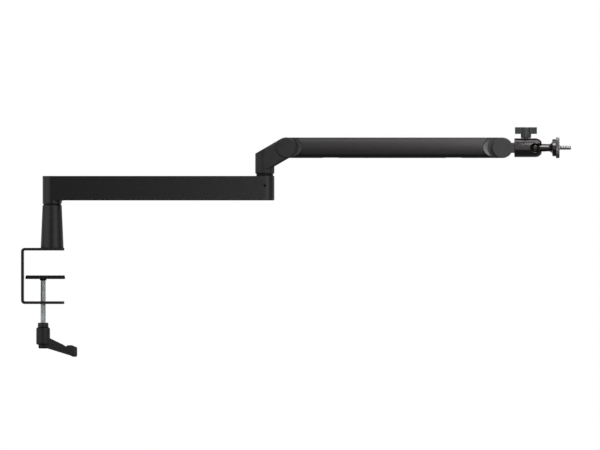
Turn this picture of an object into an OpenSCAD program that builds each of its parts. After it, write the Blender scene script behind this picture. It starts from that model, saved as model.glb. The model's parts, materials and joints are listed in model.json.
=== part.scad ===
// Low-profile desk boom arm for a microphone, in millimetres.
// The origin is on the riser's axis at the underside of the clamp's top jaw.
// +X runs along the arms towards the microphone, -Y faces the front, +Z is up.

/* [Desk clamp] */
// Thickness of the bent steel strip
jaw_t = 4; // [3:0.5:6]
// Width of the strip
jaw_w = 40; // [36:1:60]
// Height between the two jaws
throat_h = 76.2; // [70:0.1:95]
// Distance from the riser's axis to the inner face of the back wall
riser_to_back = 42.4; // [38:0.1:60]
// Distance from the riser's axis to the tips of the jaws
riser_to_tip = 18.2; // [17.5:0.1:26]
// Outer radius of the two bends in the strip
jaw_bend_r = 5.5; // [5:0.5:12]
// Radius of the jaw tips' corners, seen from above
jaw_corner_r = 6; // [2:0.5:12]

/* [Riser] */
// Diameter at the foot
riser_foot_d = 34.4; // [32:0.1:36]
// Diameter at the top
riser_top_d = 29; // [26:0.5:31]
// Height of the tapered post
riser_h = 64.7; // [40:0.1:120]
// Bevel round its top edge
riser_bevel = 1.5; // [0.5:0.1:2]
// Number of countersunk screws under the jaw
riser_screw_n = 3; // [3:1:4]
// Diameter of those screws
riser_screw_d = 5; // [4:0.5:5]
// Length of those screws
riser_screw_len = 16; // [12:0.5:24]
// Radius of the circle that they stand on
riser_screw_ring_r = 10.5; // [9.5:0.1:11]

/* [Base swivel] */
// Thickness of the thrust washer that shows as a dark gap
thrust_t = 1.2; // [0.8:0.1:3]
// Diameter of the thrust washer
thrust_d = 26.6; // [20:0.1:27]
// Diameter of the shoulder bolt's journal
spindle_d = 12; // [10:0.5:13]
// Diameter of its thread
spindle_thread_d = 8; // [6:0.5:9]
// Depth of its thread in the riser
spindle_thread_len = 16; // [10:0.5:30]
// Diameter of its head
spindle_head_d = 18; // [16:0.5:20]
// Height of its head
spindle_head_h = 5; // [4:0.5:8]
// Thickness of the spring washer under the head
spring_washer_t = 1; // [0.5:0.1:2]

/* [Lower arm] */
// Distance between the two upright pivots
lower_len = 319; // [200:1:500]
// Width of the beam, which is also the diameter of its ends
lower_w = 28.8; // [28:0.1:34]
// Height of the beam
lower_h = 36.7; // [34:0.1:50]
// Depth of the round socket under the riser end
socket_h = 5.2; // [4.8:0.1:12]
// Radius of the fillet beside the socket
socket_fillet = 3; // [1:0.5:4.5]
// Bevel along the beam's edges
beam_bevel = 0.8; // [0.3:0.1:2]
// Thickness of the walls beside the cable channel
channel_wall = 2.6; // [2.2:0.1:4]
// Depth of the cable channel, from the underside
channel_h = 29; // [20:0.5:31]
// Solid length kept round each pivot
hub_len = 20; // [17:0.5:40]
// Height of the solid floor that the riser end turns on
hub_floor_h = 15.1; // [12:0.1:20]

/* [Cable covers] */
// Thickness of the lower arm's cover
cover_t = 2; // [1.5:0.1:3]
// Width of the ledge that it rests on
cover_ledge = 1; // [0.6:0.1:1.2]
// Width of the slots in the lower arm's cover that let a cable in and out
mouth_w = 11; // [8:0.5:12]
// Width of the same slots in the upper arm's cover
upper_mouth_w = 7; // [5:0.5:10]
// Length of those slots
mouth_len = 24; // [16:1:40]
// Number of clip pairs on each cover
clip_n = 4; // [2:1:6]
// Length of a clip
clip_len = 10; // [6:1:20]
// Thickness of a clip
clip_t = 1.5; // [1:0.1:2]
// Height of a clip
clip_h = 5; // [3:0.5:8]

/* [Elbow swivel] */
// Diameter of the steel spigot
spigot_d = 16; // [14:0.5:17]
// Length of the spigot inside the elbow
spigot_grip = 20; // [16:0.5:24]
// Wall of the two plain bushes
bush_wall = 1.95; // [1:0.05:2.2]
// Length of each bush
bush_len = 9; // [6:0.5:11]
// Diameter of the upper bush's flange, which shows as the elbow's neck
neck_d = 25.3; // [22:0.1:27]
// Thickness of that flange
neck_h = 2.7; // [1.5:0.1:5]
// Height of the grub screw below the top of the beam
grub_drop = 14.4; // [13:0.1:18]
// Diameter of the grub screw
grub_d = 4; // [3:0.5:5]
// Depth of the groove that it runs in
groove_depth = 0.8; // [0.5:0.1:1.5]
// Thickness of the cap under the bore
bore_cap_t = 2; // [1.5:0.1:3]

/* [Elbow] */
// Height from the elbow's foot to the tilt hinge
elbow_rise = 39.6; // [38:0.1:60]
// Distance from the swivel axis to the tilt hinge
elbow_reach = 31.85; // [30:0.05:45]
// Angle of the slanted body above the horizontal
elbow_bend = 30; // [26:1:34]
// Height of the slanted body, square to its own axis
elbow_body_h = 31.1; // [29:0.1:31.5]
// Radius that softens the slanted body's long edges
elbow_edge_r = 19; // [18.5:0.1:21]
// Bevel round the elbow's foot
elbow_foot_bevel = 1.8; // [0.5:0.1:3]
// How far the round bosses stand out of the elbow's cheeks
boss_proud = 0.9; // [0.3:0.1:2]
// Diameter of those bosses
boss_d = 29.4; // [26:0.1:30]

/* [Tilt hinges] */
// Thickness of the tongue between the two cheeks
tongue_t = 15.2; // [12:0.1:16]
// Thickness of the friction washers
friction_t = 0.96; // [0.5:0.02:1.5]
// Diameter of the friction washers
friction_d = 24; // [18:0.5:25]
// Diameter of the elbow's hinge bolt
elbow_bolt_d = 8; // [6:0.5:9]
// Diameter of the head's hinge bolt
head_bolt_d = 6; // [5:0.5:7]
// Wall of the bushes in the tongues
hinge_bush_wall = 1.95; // [1:0.05:3]
// Depth of the bolts' thread in the front cheeks
blind_depth = 4.6; // [3:0.1:4.8]

/* [Upper arm] */
// Distance between the two tilt hinges
upper_len = 324.35; // [220:0.05:500]
// Diameter of the round arm
upper_d = 30.8; // [29.5:0.1:31]
// Height below the axis at which the cable cover begins
cover_line = 9.8; // [9:0.1:11]
// Width of the cable channel in the arm
upper_channel_w = 18; // [16:0.5:20]
// Height of the channel's roof above the axis
upper_channel_roof = 8; // [6:0.5:9]
// Thickness of the cable cover at its lowest line
upper_cover_t = 2; // [1.5:0.1:3]
// Dished shoulder at the elbow end: radius at the tongue
elbow_dish_in = 16.3; // [16:0.1:18]
// Dished shoulder at the elbow end: radius at the arm's surface
elbow_dish_out = 23.2; // [22:0.1:26]
// Dished shoulder at the head end: radius at the tongue
head_dish_in = 14.9; // [14:0.1:16]
// Dished shoulder at the head end: radius at the arm's surface
head_dish_out = 21.2; // [20:0.1:24]
// How far the head end's dish is centred behind its hinge
head_dish_back = 7.6; // [6:0.1:10]
// Length of the end fittings' plugs inside the arm
plug_len = 28; // [20:1:45]
// Diameter of the screws that hold the plugs
plug_screw_d = 4; // [3:0.5:5]
// Depth that those screws reach into the roof of the channel
plug_screw_bite = 4; // [3:0.5:4.5]

/* [Head fork] */
// Radius of the fork's round cheeks
fork_r = 15.4; // [14.5:0.1:15.5]
// Height of the bridge behind the cheeks, which shows as the neck
bridge_h = 15.3; // [12:0.1:16]
// Distance from the hinge to the ball head's rear face
head_setback = 18; // [17.5:0.1:26]
// Diameter of the fork's stud, a 1/4 inch thread
stud_d = 6.35; // [6.35:0.01:6.35]
// Length of the fork's stud
fork_stud_len = 7; // [5:0.5:8]

/* [Ball head] */
// Diameter of the housing
housing_d = 28.5; // [27.5:0.1:32]
// Diameter of the ball
ball_d = 19; // [18:0.1:19.5]
// Distance from the housing's rear face to the ball's centre
ball_setback = 30.45; // [29:0.05:40]
// Distance from the ball's centre to the housing's front face
housing_nose = 10.5; // [9:0.1:11]
// Radius of the dome round the front
dome_r = 11; // [8:0.1:12]
// Diameter of the opening that the neck passes through
mouth_d = 16.6; // [15.5:0.1:16.8]
// Width of the notch that lets the neck drop to the front
notch_w = 13; // [12.2:0.1:14]
// Diameter of the bore from behind
bore_d = 21.9; // [21:0.1:23]
// Length of the threaded plug behind the ball seat
housing_plug_len = 7.2; // [5:0.1:9]
// Distance from the ball's centre back to the lock screw
lock_back = 13; // [12:0.1:15]
// Depth of the V groove round the ball seat
seat_groove = 3.6; // [2:0.1:4]

/* [Lock knob] */
// Diameter of the knob's stem
knob_stem_d = 15; // [12:0.5:18]
// Height of the stem under the wings
knob_stem_h = 6.3; // [4:0.1:12]
// Height of the wings
knob_wing_h = 10.1; // [8:0.1:16]
// Length over the wings
knob_wing_len = 33; // [28:0.5:44]
// Thickness of the wings
knob_wing_t = 7.5; // [5:0.5:12]
// Diameter of the lock screw
lock_screw_d = 6; // [5:0.5:6.5]

/* [Ball stem and stud] */
// Diameter of the neck
neck_rod_d = 11; // [9:0.1:11.4]
// Distance from the ball's centre to the foot of the flared hub
hub_start = 21; // [20:0.1:30]
// Diameter of the flared hub
flare_d = 25.8; // [23:0.1:28]
// Radius of the curve that flares the neck into the hub
flare_r = 5.5; // [3:0.1:6]
// Length of the hub's rim
flare_rim = 5.5; // [2:0.1:8]
// Length of the stud in front of the thumb disc
stud_len = 17.2; // [14:0.1:25]
// Length of the stud inside the hub
stud_grip = 12; // [8:0.5:16]
// Diameter of the thumb disc
disc_d = 31.2; // [26:0.1:36]
// Thickness of the thumb disc
disc_t = 4; // [3:0.1:6]
// Thickness of the soft ring on its face
disc_pad_t = 1.2; // [0.8:0.1:2]

/* [Pressure plate] */
// Length of the plate
plate_len = 59.3; // [40:0.1:59.5]
// Width of the plate
plate_w = 36; // [24:1:40]
// Thickness of the moulded plate
plate_t = 3.4; // [3:0.1:6]
// Thickness of the soft pad on it
pad_t = 2; // [1:0.1:4]
// Distance from the top jaw down to the pad, as drawn
desk_gap = 37.35; // [30:0.05:42]
// Gap between the plate and the back wall
plate_gap = 2.4; // [1:0.1:6]
// Diameter of the boss under the plate
plate_boss_d = 10; // [9:0.5:14]
// Height of the boss under the plate
plate_boss_h = 2.25; // [1:0.05:5]
// Radius of the plate's corners
plate_corner_r = 6; // [2:0.5:12]

/* [Clamp screw] */
// Diameter of the screw
screw_d = 8; // [7:0.5:10]
// Distance from the riser's axis back to the screw
screw_back = 13.5; // [10:0.1:16]
// Length of the screw that shows between the plate and the lever
screw_len = 63.3; // [62.5:0.1:90]
// Diameter of the neck that the plate turns on
tip_d = 5; // [4:0.1:6]
// Diameter of the ring that holds the plate on
ring_d = 9; // [8:0.1:10]
// Thickness of that ring
ring_t = 0.8; // [0.5:0.1:1]

/* [Clamping lever] */
// Diameter of the insert's collar
collar_d = 16; // [14:0.5:18]
// Height of the insert's collar
collar_h = 6.45; // [4:0.05:10]
// Number of teeth between the insert and the lever
tooth_n = 24; // [18:2:30]
// Diameter over the insert's teeth
tooth_tip_d = 13.2; // [12.6:0.1:14]
// Depth of a tooth
tooth_depth = 1; // [0.6:0.1:1.2]
// Length of the teeth
tooth_len = 4.6; // [3:0.1:4.8]
// How far the lever pulls down to free its teeth
lever_pull = 5; // [4.9:0.1:6]
// Diameter of the insert's guide shaft
guide_d = 9; // [8:0.1:9.5]
// Thickness of the lever's web that the shaft guides
web_t = 4; // [3:0.1:6]
// Diameter of the hub
lever_hub_d = 20.8; // [19.5:0.1:24]
// Height of the hub
lever_hub_h = 26.55; // [26:0.05:32]
// Bevel round the hub's upper edge
lever_hub_bevel = 2.2; // [1:0.1:2.5]
// Diameter of the spring chamber inside
chamber_d = 14; // [13.6:0.1:15]
// Diameter of the cap under the hub
lever_cap_d = 14.4; // [13.6:0.1:16]
// Height of the cap under the hub
lever_cap_h = 5.7; // [3:0.1:8]
// Distance from the screw's axis to the lever's tip
lever_reach = 51.1; // [40:0.1:80]
// Slope of the lever's upper edge
lever_top_slope = 25.9; // [20:0.1:30]
// Slope of the lever's lower edge
lever_low_slope = 17.2; // [12:0.1:20]
// Depth of the upper edge below the hub's top, at the axis
lever_top_drop = 11.8; // [10:0.1:14]
// Depth of the lower edge below the hub's top, at the axis
lever_low_drop = 30.1; // [28:0.1:32]
// Width of the lever beside the hub
lever_root_w = 15; // [12:0.5:18]
// Width of the lever at its tip
lever_tip_w = 11; // [8:0.5:14]
// Depth of the tip below the hub's top
lever_tip_drop = 44.7; // [44:0.1:52]
// Length of the flat under the tip
lever_tip_len = 6; // [4:0.5:8]
// Distance from the end of the guide shaft to the head of the screw that holds the spring
lever_screw_drop = 6; // [5.5:0.1:8]
// Diameter of the spring's wire
wire_d = 1; // [0.8:0.1:1.1]
// Number of turns in the spring
spring_turns = 5; // [4:0.5:5.5]

/* [Hidden] */
$fn = 64;

// Clearances
run_fit = 0.05;
seat_fit = 0.02;
face_fit = 0.02;
loose_fit = 0.3;
far = 200;

// Radii and half widths
riser_foot_r = riser_foot_d / 2;
riser_top_r = riser_top_d / 2;
spindle_r = spindle_d / 2;
spindle_thread_r = spindle_thread_d / 2;
spindle_head_r = spindle_head_d / 2;
beam_r = lower_w / 2;
spigot_r = spigot_d / 2;
arm_r = upper_d / 2;
tongue_y = tongue_t / 2;
ball_r = ball_d / 2;
housing_r = housing_d / 2;
bore_r = bore_d / 2;
neck_rod_r = neck_rod_d / 2;
stud_r = stud_d / 2;
screw_r = screw_d / 2;
hub_r = lever_hub_d / 2;
chamber_r = chamber_d / 2;
guide_r = guide_d / 2;

// Base swivel, from the riser up
riser_z = jaw_t + riser_h;
socket_z = riser_z + thrust_t;
beam_z = socket_z + socket_h;
beam_top_z = beam_z + lower_h;
base_bush_r = spindle_r + 2;
base_flange_t = 1.2;
hub_floor_z = socket_z + hub_floor_h;
spindle_head_z = hub_floor_z + base_flange_t + spring_washer_t;
well_r = spindle_head_r + 2;
cap_lip = 1;
cap_t = 2.5;
hex_key_r = 4.6;

// Lower arm's cable channel
channel_r = beam_r - channel_wall;
channel_x0 = hub_len;
channel_x1 = lower_len - hub_len;
cover_r = channel_r + cover_ledge;
mouth_margin = 4;
clip_gap = 0.2;

// Elbow swivel
bush_r = spigot_r + run_fit + bush_wall;
grub_z = beam_top_z - grub_drop;
spigot_foot_z = beam_z + bore_cap_t + 1;
elbow_z = beam_top_z + neck_h;
grub_nose = 1.4;
plug_nose = 1.2;

// Tilt hinges
hinge_z = elbow_z + elbow_rise;
hinge1_x = lower_len + elbow_reach;
hinge2_x = hinge1_x + upper_len;
cheek_y = tongue_y + friction_t + 2 * face_fit;
cheek_out_y = beam_r;
boss_y = cheek_out_y + boss_proud;
slot_r = elbow_dish_in + 1.2;
diagonal_z = hinge_z - elbow_reach * tan(elbow_bend);
hinge_bore1_r = elbow_bolt_d / 2 + run_fit;
hinge_bore2_r = head_bolt_d / 2 + run_fit;
head_angle_h = 0.55;

// Upper arm
dish1_x = hinge1_x;
dish2_x = hinge2_x - head_dish_back;
upper_channel_y = upper_channel_w / 2;
plug1_x = dish1_x + elbow_dish_out + plug_len;
plug2_x = dish2_x - head_dish_out - plug_len;
plug_screw_r = plug_screw_d / 2;
plug_screw_len = cover_line + upper_channel_roof + plug_screw_bite;

// Ball head
fork_y = boss_y;
fork_gap = 0.05;
housing_x = hinge2_x + head_setback + fork_gap;
ball_x = housing_x + ball_setback;
lock_x = ball_x - lock_back;
plug_gap = 0.3;
cup_x0 = housing_x + plug_gap + housing_plug_len + plug_gap;
cup_x1 = ball_x - notch_w / 2 - plug_gap;
lock_r = lock_screw_d / 2;
tip_len = 3;
pin_z = bore_r - seat_groove + 0.85;
pin_top = pin_z + tip_len;
knob_z = housing_r + 0.2;

// Stem, stud and disc
hub_end = hub_start + flare_r + flare_rim;
disc_x = ball_x + hub_end + 0.05;
pad_x = disc_x + disc_t;
stud_face = pad_x + disc_pad_t - ball_x;
stud_bore_r = stud_r + run_fit;

// Clamp screw and lever, from the plate down
screw_x = -screw_back;
plate_x0 = -riser_to_back + plate_gap;
plate_z = -desk_gap - pad_t;
boss_z = plate_z - plate_t - plate_boss_h;
ring_z = plate_z - ring_t - 0.5;
ring_bite = 0.5;
collar_z = boss_z - screw_len;
insert_z = collar_z - collar_h;
guide_len = lever_pull + tooth_len + web_t + 1.2;
guide_end_z = insert_z - guide_len;
tooth_tip_r = tooth_tip_d / 2;
tooth_gap = 0.15;
hub_top_z = insert_z - face_fit;
web_z = insert_z - tooth_len - 0.6;
lever_screw_z = guide_end_z - lever_screw_drop;
lever_screw_head = 2.4;
hub_low_z = hub_top_z - lever_hub_h;

// A polygon of millimetres turned round Z
module revolve(points) {
    rotate_extrude() polygon(points);
}

// A plain ring between two heights
module ring(outer, inner, low, high) {
    translate([0, 0, low]) difference() {
        cylinder(r = outer, h = high - low);
        translate([0, 0, -1]) cylinder(r = inner, h = high - low + 2);
    }
}

// A plain rod between two heights
module rod(r, low, high) {
    translate([0, 0, low]) cylinder(r = r, h = high - low);
}

// Places children so that their Z points to +X, along the hinges' height
module along_x(x) {
    translate([x, 0, hinge_z]) rotate([0, 90, 0]) children();
}

// Places children so that their Z points to the back, +Y, on a hinge's axis
module on_hinge(x) {
    translate([x, 0, hinge_z]) rotate([-90, 0, 0]) children();
}

// A block given by two corners
module block(low, high) {
    translate(low) cube([high[0] - low[0], high[1] - low[1], high[2] - low[2]]);
}

// A hexagonal key socket
module hex_socket(r, low, high) {
    translate([0, 0, low]) cylinder(r = r, h = high - low, $fn = 6);
}

// A countersunk screw whose flat head lies at z = 0, with its point below
module countersunk(r, len, key) {
    difference() {
        revolve([[0, 0], [2 * r, 0], [2 * r, -head_angle_h * 0.3], [r, -1.1 * r - head_angle_h * 0.3],
                 [r, -len + 0.5], [r - 0.5, -len], [0, -len]]);
        hex_socket(key, -r, 1);
    }
}

// The hole that such a screw sits in
module countersink(r, len, gap) {
    revolve([[0, 1], [2 * r + gap, 1], [2 * r + gap, -head_angle_h * 0.3], [r + gap, -1.1 * r - head_angle_h * 0.3],
             [r + gap, -len], [0, -len]]);
}

// The C clamp

// Rectangle in the plane of the strip's profile with both left corners round
module left_rounded(x0, x1, z0, z1, r) {
    difference() {
        translate([x0, z0]) square([x1 - x0, z1 - z0]);
        for (side = [0, 1]) translate([x0, side ? z1 : z0]) mirror([0, side]) difference() {
            translate([-1, -1]) square([r + 1, r + 1]);
            translate([r, r]) circle(r);
        }
    }
}

module clamp_plan() {
    difference() {
        translate([-far, -jaw_w / 2]) square([far + riser_to_tip, jaw_w]);
        for (side = [0, 1]) mirror([0, side]) translate([riser_to_tip, jaw_w / 2]) difference() {
            translate([-jaw_corner_r, -jaw_corner_r]) square(jaw_corner_r + 1);
            translate([-jaw_corner_r, -jaw_corner_r]) circle(jaw_corner_r);
        }
    }
}

module at_riser_screws() {
    for (i = [0 : riser_screw_n - 1])
        rotate([0, 0, 90 + i * 360 / riser_screw_n]) translate([riser_screw_ring_r, 0, 0]) rotate([180, 0, 0])
            children();
}

module clamp_frame() color("#26272a") difference() {
    intersection() {
        translate([0, far / 2, 0]) rotate([90, 0, 0]) linear_extrude(far) difference() {
            left_rounded(-riser_to_back - jaw_t, far, -throat_h - jaw_t, jaw_t, jaw_bend_r);
            left_rounded(-riser_to_back, far + 1, -throat_h, 0, jaw_bend_r - jaw_t);
        }
        translate([0, 0, -far]) linear_extrude(2 * far) clamp_plan();
    }
    translate([screw_x, 0, 0]) rod(screw_r + run_fit, -throat_h - jaw_t - 1, -throat_h + 1);
    at_riser_screws() countersink(riser_screw_d / 2, riser_screw_len, 0.1);
}

module riser() color("#2e2f31") difference() {
    translate([0, 0, jaw_t]) revolve([[0, 0], [riser_foot_r, 0], [riser_top_r, riser_h - riser_bevel],
        [riser_top_r - riser_bevel, riser_h], [0, riser_h]]);
    rod(spindle_thread_r + run_fit, riser_z - spindle_thread_len - 1, riser_z + 1);
    at_riser_screws() rod(riser_screw_d / 2 + run_fit, -riser_screw_len - 1, 0);
}

module riser_screws() color("#3a3b3d")
    at_riser_screws() countersunk(riser_screw_d / 2, riser_screw_len, riser_screw_d * 0.3);

// Base swivel

module base_spindle() color("#8d8f92") difference() {
    revolve([[0, riser_z - spindle_thread_len], [spindle_thread_r, riser_z - spindle_thread_len],
        [spindle_thread_r, riser_z], [spindle_r, riser_z], [spindle_r, spindle_head_z],
        [spindle_head_r, spindle_head_z], [spindle_head_r, spindle_head_z + spindle_head_h - 1],
        [spindle_head_r - 1, spindle_head_z + spindle_head_h], [0, spindle_head_z + spindle_head_h]]);
    hex_socket(hex_key_r, spindle_head_z + 1, spindle_head_z + spindle_head_h + 1);
}

module base_thrust_washer() color("#151516")
    ring(thrust_d / 2, spindle_r + run_fit, riser_z, socket_z - face_fit);

module base_bush() color("#c9c3b2") {
    ring(base_bush_r, spindle_r + run_fit, socket_z + loose_fit, hub_floor_z + 0.001);
    ring(spindle_head_r, spindle_r + run_fit, hub_floor_z, hub_floor_z + base_flange_t);
}

module base_spring_washer() color("#8d8f92")
    ring(spindle_head_r - 0.5, spindle_r + loose_fit, hub_floor_z + base_flange_t, spindle_head_z - face_fit);

module base_cap() color("#1e1f20") {
    rod(well_r + cap_lip - run_fit, beam_top_z - cap_t, beam_top_z);
    ring(well_r - run_fit, well_r - 1.5, beam_top_z - cap_t - 4, beam_top_z - cap_t + 0.01);
}

// Lower arm

// Bar with half-round ends and bevelled edges, from the origin along X
module capsule_bar(len, r, h, bevel) {
    rotate([90, 0, 90]) linear_extrude(len) polygon([[-r, bevel], [bevel - r, 0], [r - bevel, 0], [r, bevel],
        [r, h - bevel], [r - bevel, h], [bevel - r, h], [-r, h - bevel]]);
    for (end = [0, 1]) translate([end * len, 0, 0]) rotate([0, 0, 90 - 180 * end]) rotate_extrude(angle = 180)
        polygon([[0, 0], [r - bevel, 0], [r, bevel], [r, h - bevel], [r - bevel, h], [0, h]]);
}

module socket() {
    socket_bevel = 0.8;
    revolve([[0, socket_z], [beam_r - socket_bevel, socket_z], [beam_r, socket_z + socket_bevel],
        [beam_r, beam_z + beam_bevel + 0.5], [0, beam_z + beam_bevel + 0.5]]);
    intersection() {
        rotate_extrude() translate([beam_r, beam_z - socket_fillet]) difference() {
            translate([-1, 0]) square([socket_fillet + 1, socket_fillet + beam_bevel]);
            translate([socket_fillet, 0]) circle(socket_fillet);
        }
        block([0, -beam_r + beam_bevel, socket_z], [far, beam_r - beam_bevel, beam_top_z]);
    }
}

module lower_arm_beam() color("#232425") difference() {
    union() {
        translate([0, 0, beam_z]) capsule_bar(lower_len, beam_r, lower_h, beam_bevel);
        socket();
    }
    rod(base_bush_r + seat_fit, socket_z - 1, hub_floor_z + 1);
    rod(well_r, hub_floor_z, beam_top_z);
    rod(well_r + cap_lip, beam_top_z - cap_t, beam_top_z + 1);
    block([channel_x0, -channel_r, beam_z - 1], [channel_x1, channel_r, beam_z + channel_h]);
    block([channel_x0 - cover_ledge, -cover_r, beam_z - 1], [channel_x1 + cover_ledge, cover_r, beam_z + cover_t]);
    translate([lower_len, 0, 0]) {
        rod(spigot_r + loose_fit, beam_z, beam_top_z + 1);
        rod(bush_r + seat_fit, beam_top_z - bush_len, beam_top_z + 1);
        rod(bush_r + seat_fit, beam_z, beam_z + bore_cap_t + bush_len);
        rod(bush_r + cap_lip, beam_z - 1, beam_z + bore_cap_t);
        translate([0, 0, grub_z]) rotate([90, 0, 0]) rod(grub_d / 2 + run_fit, 0, beam_r + 1);
    }
}

module lower_cable_cover() color("#202122") {
    reach = channel_x1 - channel_x0 - 2 * mouth_margin - 2 * mouth_len;
    difference() {
        block([channel_x0 - cover_ledge + clip_gap, -cover_r + clip_gap, beam_z],
            [channel_x1 + cover_ledge - clip_gap, cover_r - clip_gap, beam_z + cover_t]);
        for (x = [channel_x0 + mouth_margin, channel_x1 - mouth_margin - mouth_len])
            block([x, -mouth_w / 2, beam_z - 1], [x + mouth_len, mouth_w / 2, beam_z + cover_t + 1]);
    }
    for (i = [0 : clip_n - 1], side = [0, 1]) mirror([0, side, 0])
        translate([channel_x0 + mouth_margin + mouth_len + (i + 0.5) * reach / clip_n - clip_len / 2,
            channel_r - clip_gap - clip_t, beam_z + cover_t - 0.01]) cube([clip_len, clip_t, clip_h]);
}

// Elbow swivel

module elbow_bush_upper() color("#141415") translate([lower_len, 0, 0]) {
    ring(bush_r, spigot_r + run_fit, beam_top_z - bush_len, beam_top_z + 0.01);
    ring(neck_d / 2, spigot_r + run_fit, beam_top_z, elbow_z - face_fit);
}

module elbow_bush_lower() color("#c9c3b2") translate([lower_len, 0, 0])
    ring(bush_r, spigot_r + run_fit, beam_z + bore_cap_t, beam_z + bore_cap_t + bush_len);

module elbow_bore_cap() color("#1e1f20") translate([lower_len, 0, 0])
    rod(bush_r + cap_lip - run_fit, beam_z, beam_z + bore_cap_t - face_fit);

// Places children on the grub screw's axis, with Z running from the spigot's axis to the front
module on_grub() {
    translate([lower_len, 0, grub_z]) rotate([90, 0, 0]) children();
}

module elbow_grub_screw() color("#17181a") on_grub() difference() {
    rod(grub_d / 2, spigot_r + plug_nose, beam_r - grub_nose);
    hex_socket(grub_d * 0.29, beam_r - grub_nose - 2, beam_r);
}

module elbow_brake_plug() color("#d8d5c8") on_grub()
    rod(grub_d / 2, spigot_r - groove_depth + face_fit, spigot_r + plug_nose);

module elbow_spigot() color("#8d8f92") translate([lower_len, 0, 0]) {
    groove_r = spigot_r - groove_depth;
    half = grub_d / 2 + 0.3;
    revolve([[0, spigot_foot_z], [spigot_r - 0.8, spigot_foot_z], [spigot_r, spigot_foot_z + 0.8],
        [spigot_r, grub_z - half], [groove_r, grub_z - half], [groove_r, grub_z + half],
        [spigot_r, grub_z + half], [spigot_r, elbow_z + spigot_grip], [0, elbow_z + spigot_grip]]);
}

// Elbow

// Places children on the slanted body's axis: X runs up the slant and ends on the hinge
module on_slant() {
    translate([hinge1_x, 0, hinge_z]) rotate([0, -elbow_bend, 0]) children();
}

module elbow_housing() color("#333436") {
    half = elbow_body_h / 2;
    difference() {
        union() {
            intersection() {
                translate([lower_len, 0, 0]) revolve([[0, elbow_z], [beam_r - elbow_foot_bevel, elbow_z],
                    [beam_r, elbow_z + elbow_foot_bevel], [beam_r, hinge_z + arm_r], [0, hinge_z + arm_r]]);
                on_slant() block([-far, -far, -far], [far, far, half]);
            }
            intersection() {
                on_slant() block([-far, -beam_r, -half], [0, beam_r, half]);
                on_slant() translate([-far, 0, 0]) rotate([0, 90, 0]) cylinder(r = elbow_edge_r, h = far);
                block([lower_len, -far, -far], [far * 3, far, 2 * far]);
            }
            on_hinge(hinge1_x) rod(half, -beam_r, beam_r);
            on_hinge(hinge1_x) {
                bevelled_disc(boss_d / 2, beam_r - 1, boss_y, 0.4);
                mirror([0, 0, 1]) bevelled_disc(boss_d / 2, beam_r - 1, boss_y, 0.4);
            }
        }
        on_hinge(hinge1_x) {
            rod(slot_r, -cheek_y, cheek_y);
            hinge_hole(elbow_bolt_d / 2);
        }
        translate([lower_len, 0, 0]) rod(spigot_r + seat_fit, elbow_z - 1, elbow_z + spigot_grip + 0.5);
    }
}

// A disc between two heights, with a bevel round its upper edge
module bevelled_disc(r, low, high, bevel) {
    revolve([[0, low], [r, low], [r, high - bevel], [r - bevel, high], [0, high]]);
}

// Holes for a hinge bolt: through from the back, blind in the front cheek
module hinge_hole(r) {
    rod(r + seat_fit, -cheek_y - blind_depth, cheek_y);
    translate([0, 0, boss_y - 0.2]) countersink(r, boss_y, seat_fit);
}

module hinge_bolt(r) {
    translate([0, 0, boss_y - 0.2]) countersunk(r, boss_y - 0.2 + cheek_y + blind_depth - 0.2, r * 0.62);
}

module friction_washers(r) {
    for (side = [0, 1]) mirror([0, 0, side])
        ring(friction_d / 2, r + 0.1, tongue_y + face_fit, tongue_y + face_fit + friction_t);
}

module elbow_hinge_bolt() color("#55575a") on_hinge(hinge1_x) hinge_bolt(elbow_bolt_d / 2);

module elbow_friction_washers() color("#b9b4a6") on_hinge(hinge1_x) friction_washers(elbow_bolt_d / 2);

// Upper arm

// What a fitting may fill on its own side of the shoulder, or what the tube is cut back by
module dish_reach(r) {
    on_hinge_axis() cylinder(r = r, h = far, center = true);
    block([-far, -far, -far], [0, far, far]);
}

// Turns a cylinder's Z to Y without moving it
module on_hinge_axis() {
    rotate([90, 0, 0]) children();
}

// Hollow round the tongue: a cone about the hinge and all that lies beyond it
module dish_cut(inner, outer) {
    for (side = [0, 1]) mirror([0, side, 0]) {
        translate([0, tongue_y, 0]) rotate([-90, 0, 0]) cylinder(r1 = inner, r2 = outer, h = arm_r - tongue_y);
        block([-far, tongue_y, -far], [0, far, far]);
    }
}

// One end of the upper arm, drawn with its dish at the origin and the arm along +X
module end_fitting(inner, outer, back, bolt_r) {
    difference() {
        union() {
            intersection() {
                translate([-back, 0, 0]) rotate([0, 90, 0]) cylinder(r = arm_r, h = far);
                dish_reach(outer - seat_fit);
            }
            translate([-back, 0, 0]) sphere(r = arm_r);
            block([inner, -upper_channel_y + run_fit, -cover_line + run_fit],
                [outer + plug_len, upper_channel_y - run_fit, upper_channel_roof - run_fit]);
        }
        dish_cut(inner, outer);
        translate([-back, 0, 0]) on_hinge_axis() cylinder(r = bolt_r + run_fit + hinge_bush_wall, h = far, center = true);
        at_plug_screws(outer) countersink(plug_screw_r, 2 * arm_r, run_fit);
    }
}

// Two screws hold each plug, from below
module at_plug_screws(outer) {
    for (step = [0.3, 0.75]) translate([outer + plug_len * step, 0, -cover_line + run_fit]) rotate([180, 0, 0])
        children();
}

// The end fitting at the elbow, or its mirror image at the head
module at_elbow_end() {
    translate([dish1_x, 0, hinge_z]) children();
}

module at_head_end() {
    translate([dish2_x, 0, hinge_z]) mirror([1, 0, 0]) children();
}

module elbow_end_fitting() color("#3a3b3d")
    at_elbow_end() end_fitting(elbow_dish_in, elbow_dish_out, 0, elbow_bolt_d / 2);

module head_end_fitting() color("#3a3b3d")
    at_head_end() end_fitting(head_dish_in, head_dish_out, head_dish_back, head_bolt_d / 2);

module elbow_hinge_bush() color("#c9a86a") on_hinge(hinge1_x)
    ring(hinge_bore1_r + hinge_bush_wall - seat_fit, hinge_bore1_r, -tongue_y, tongue_y);

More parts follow.
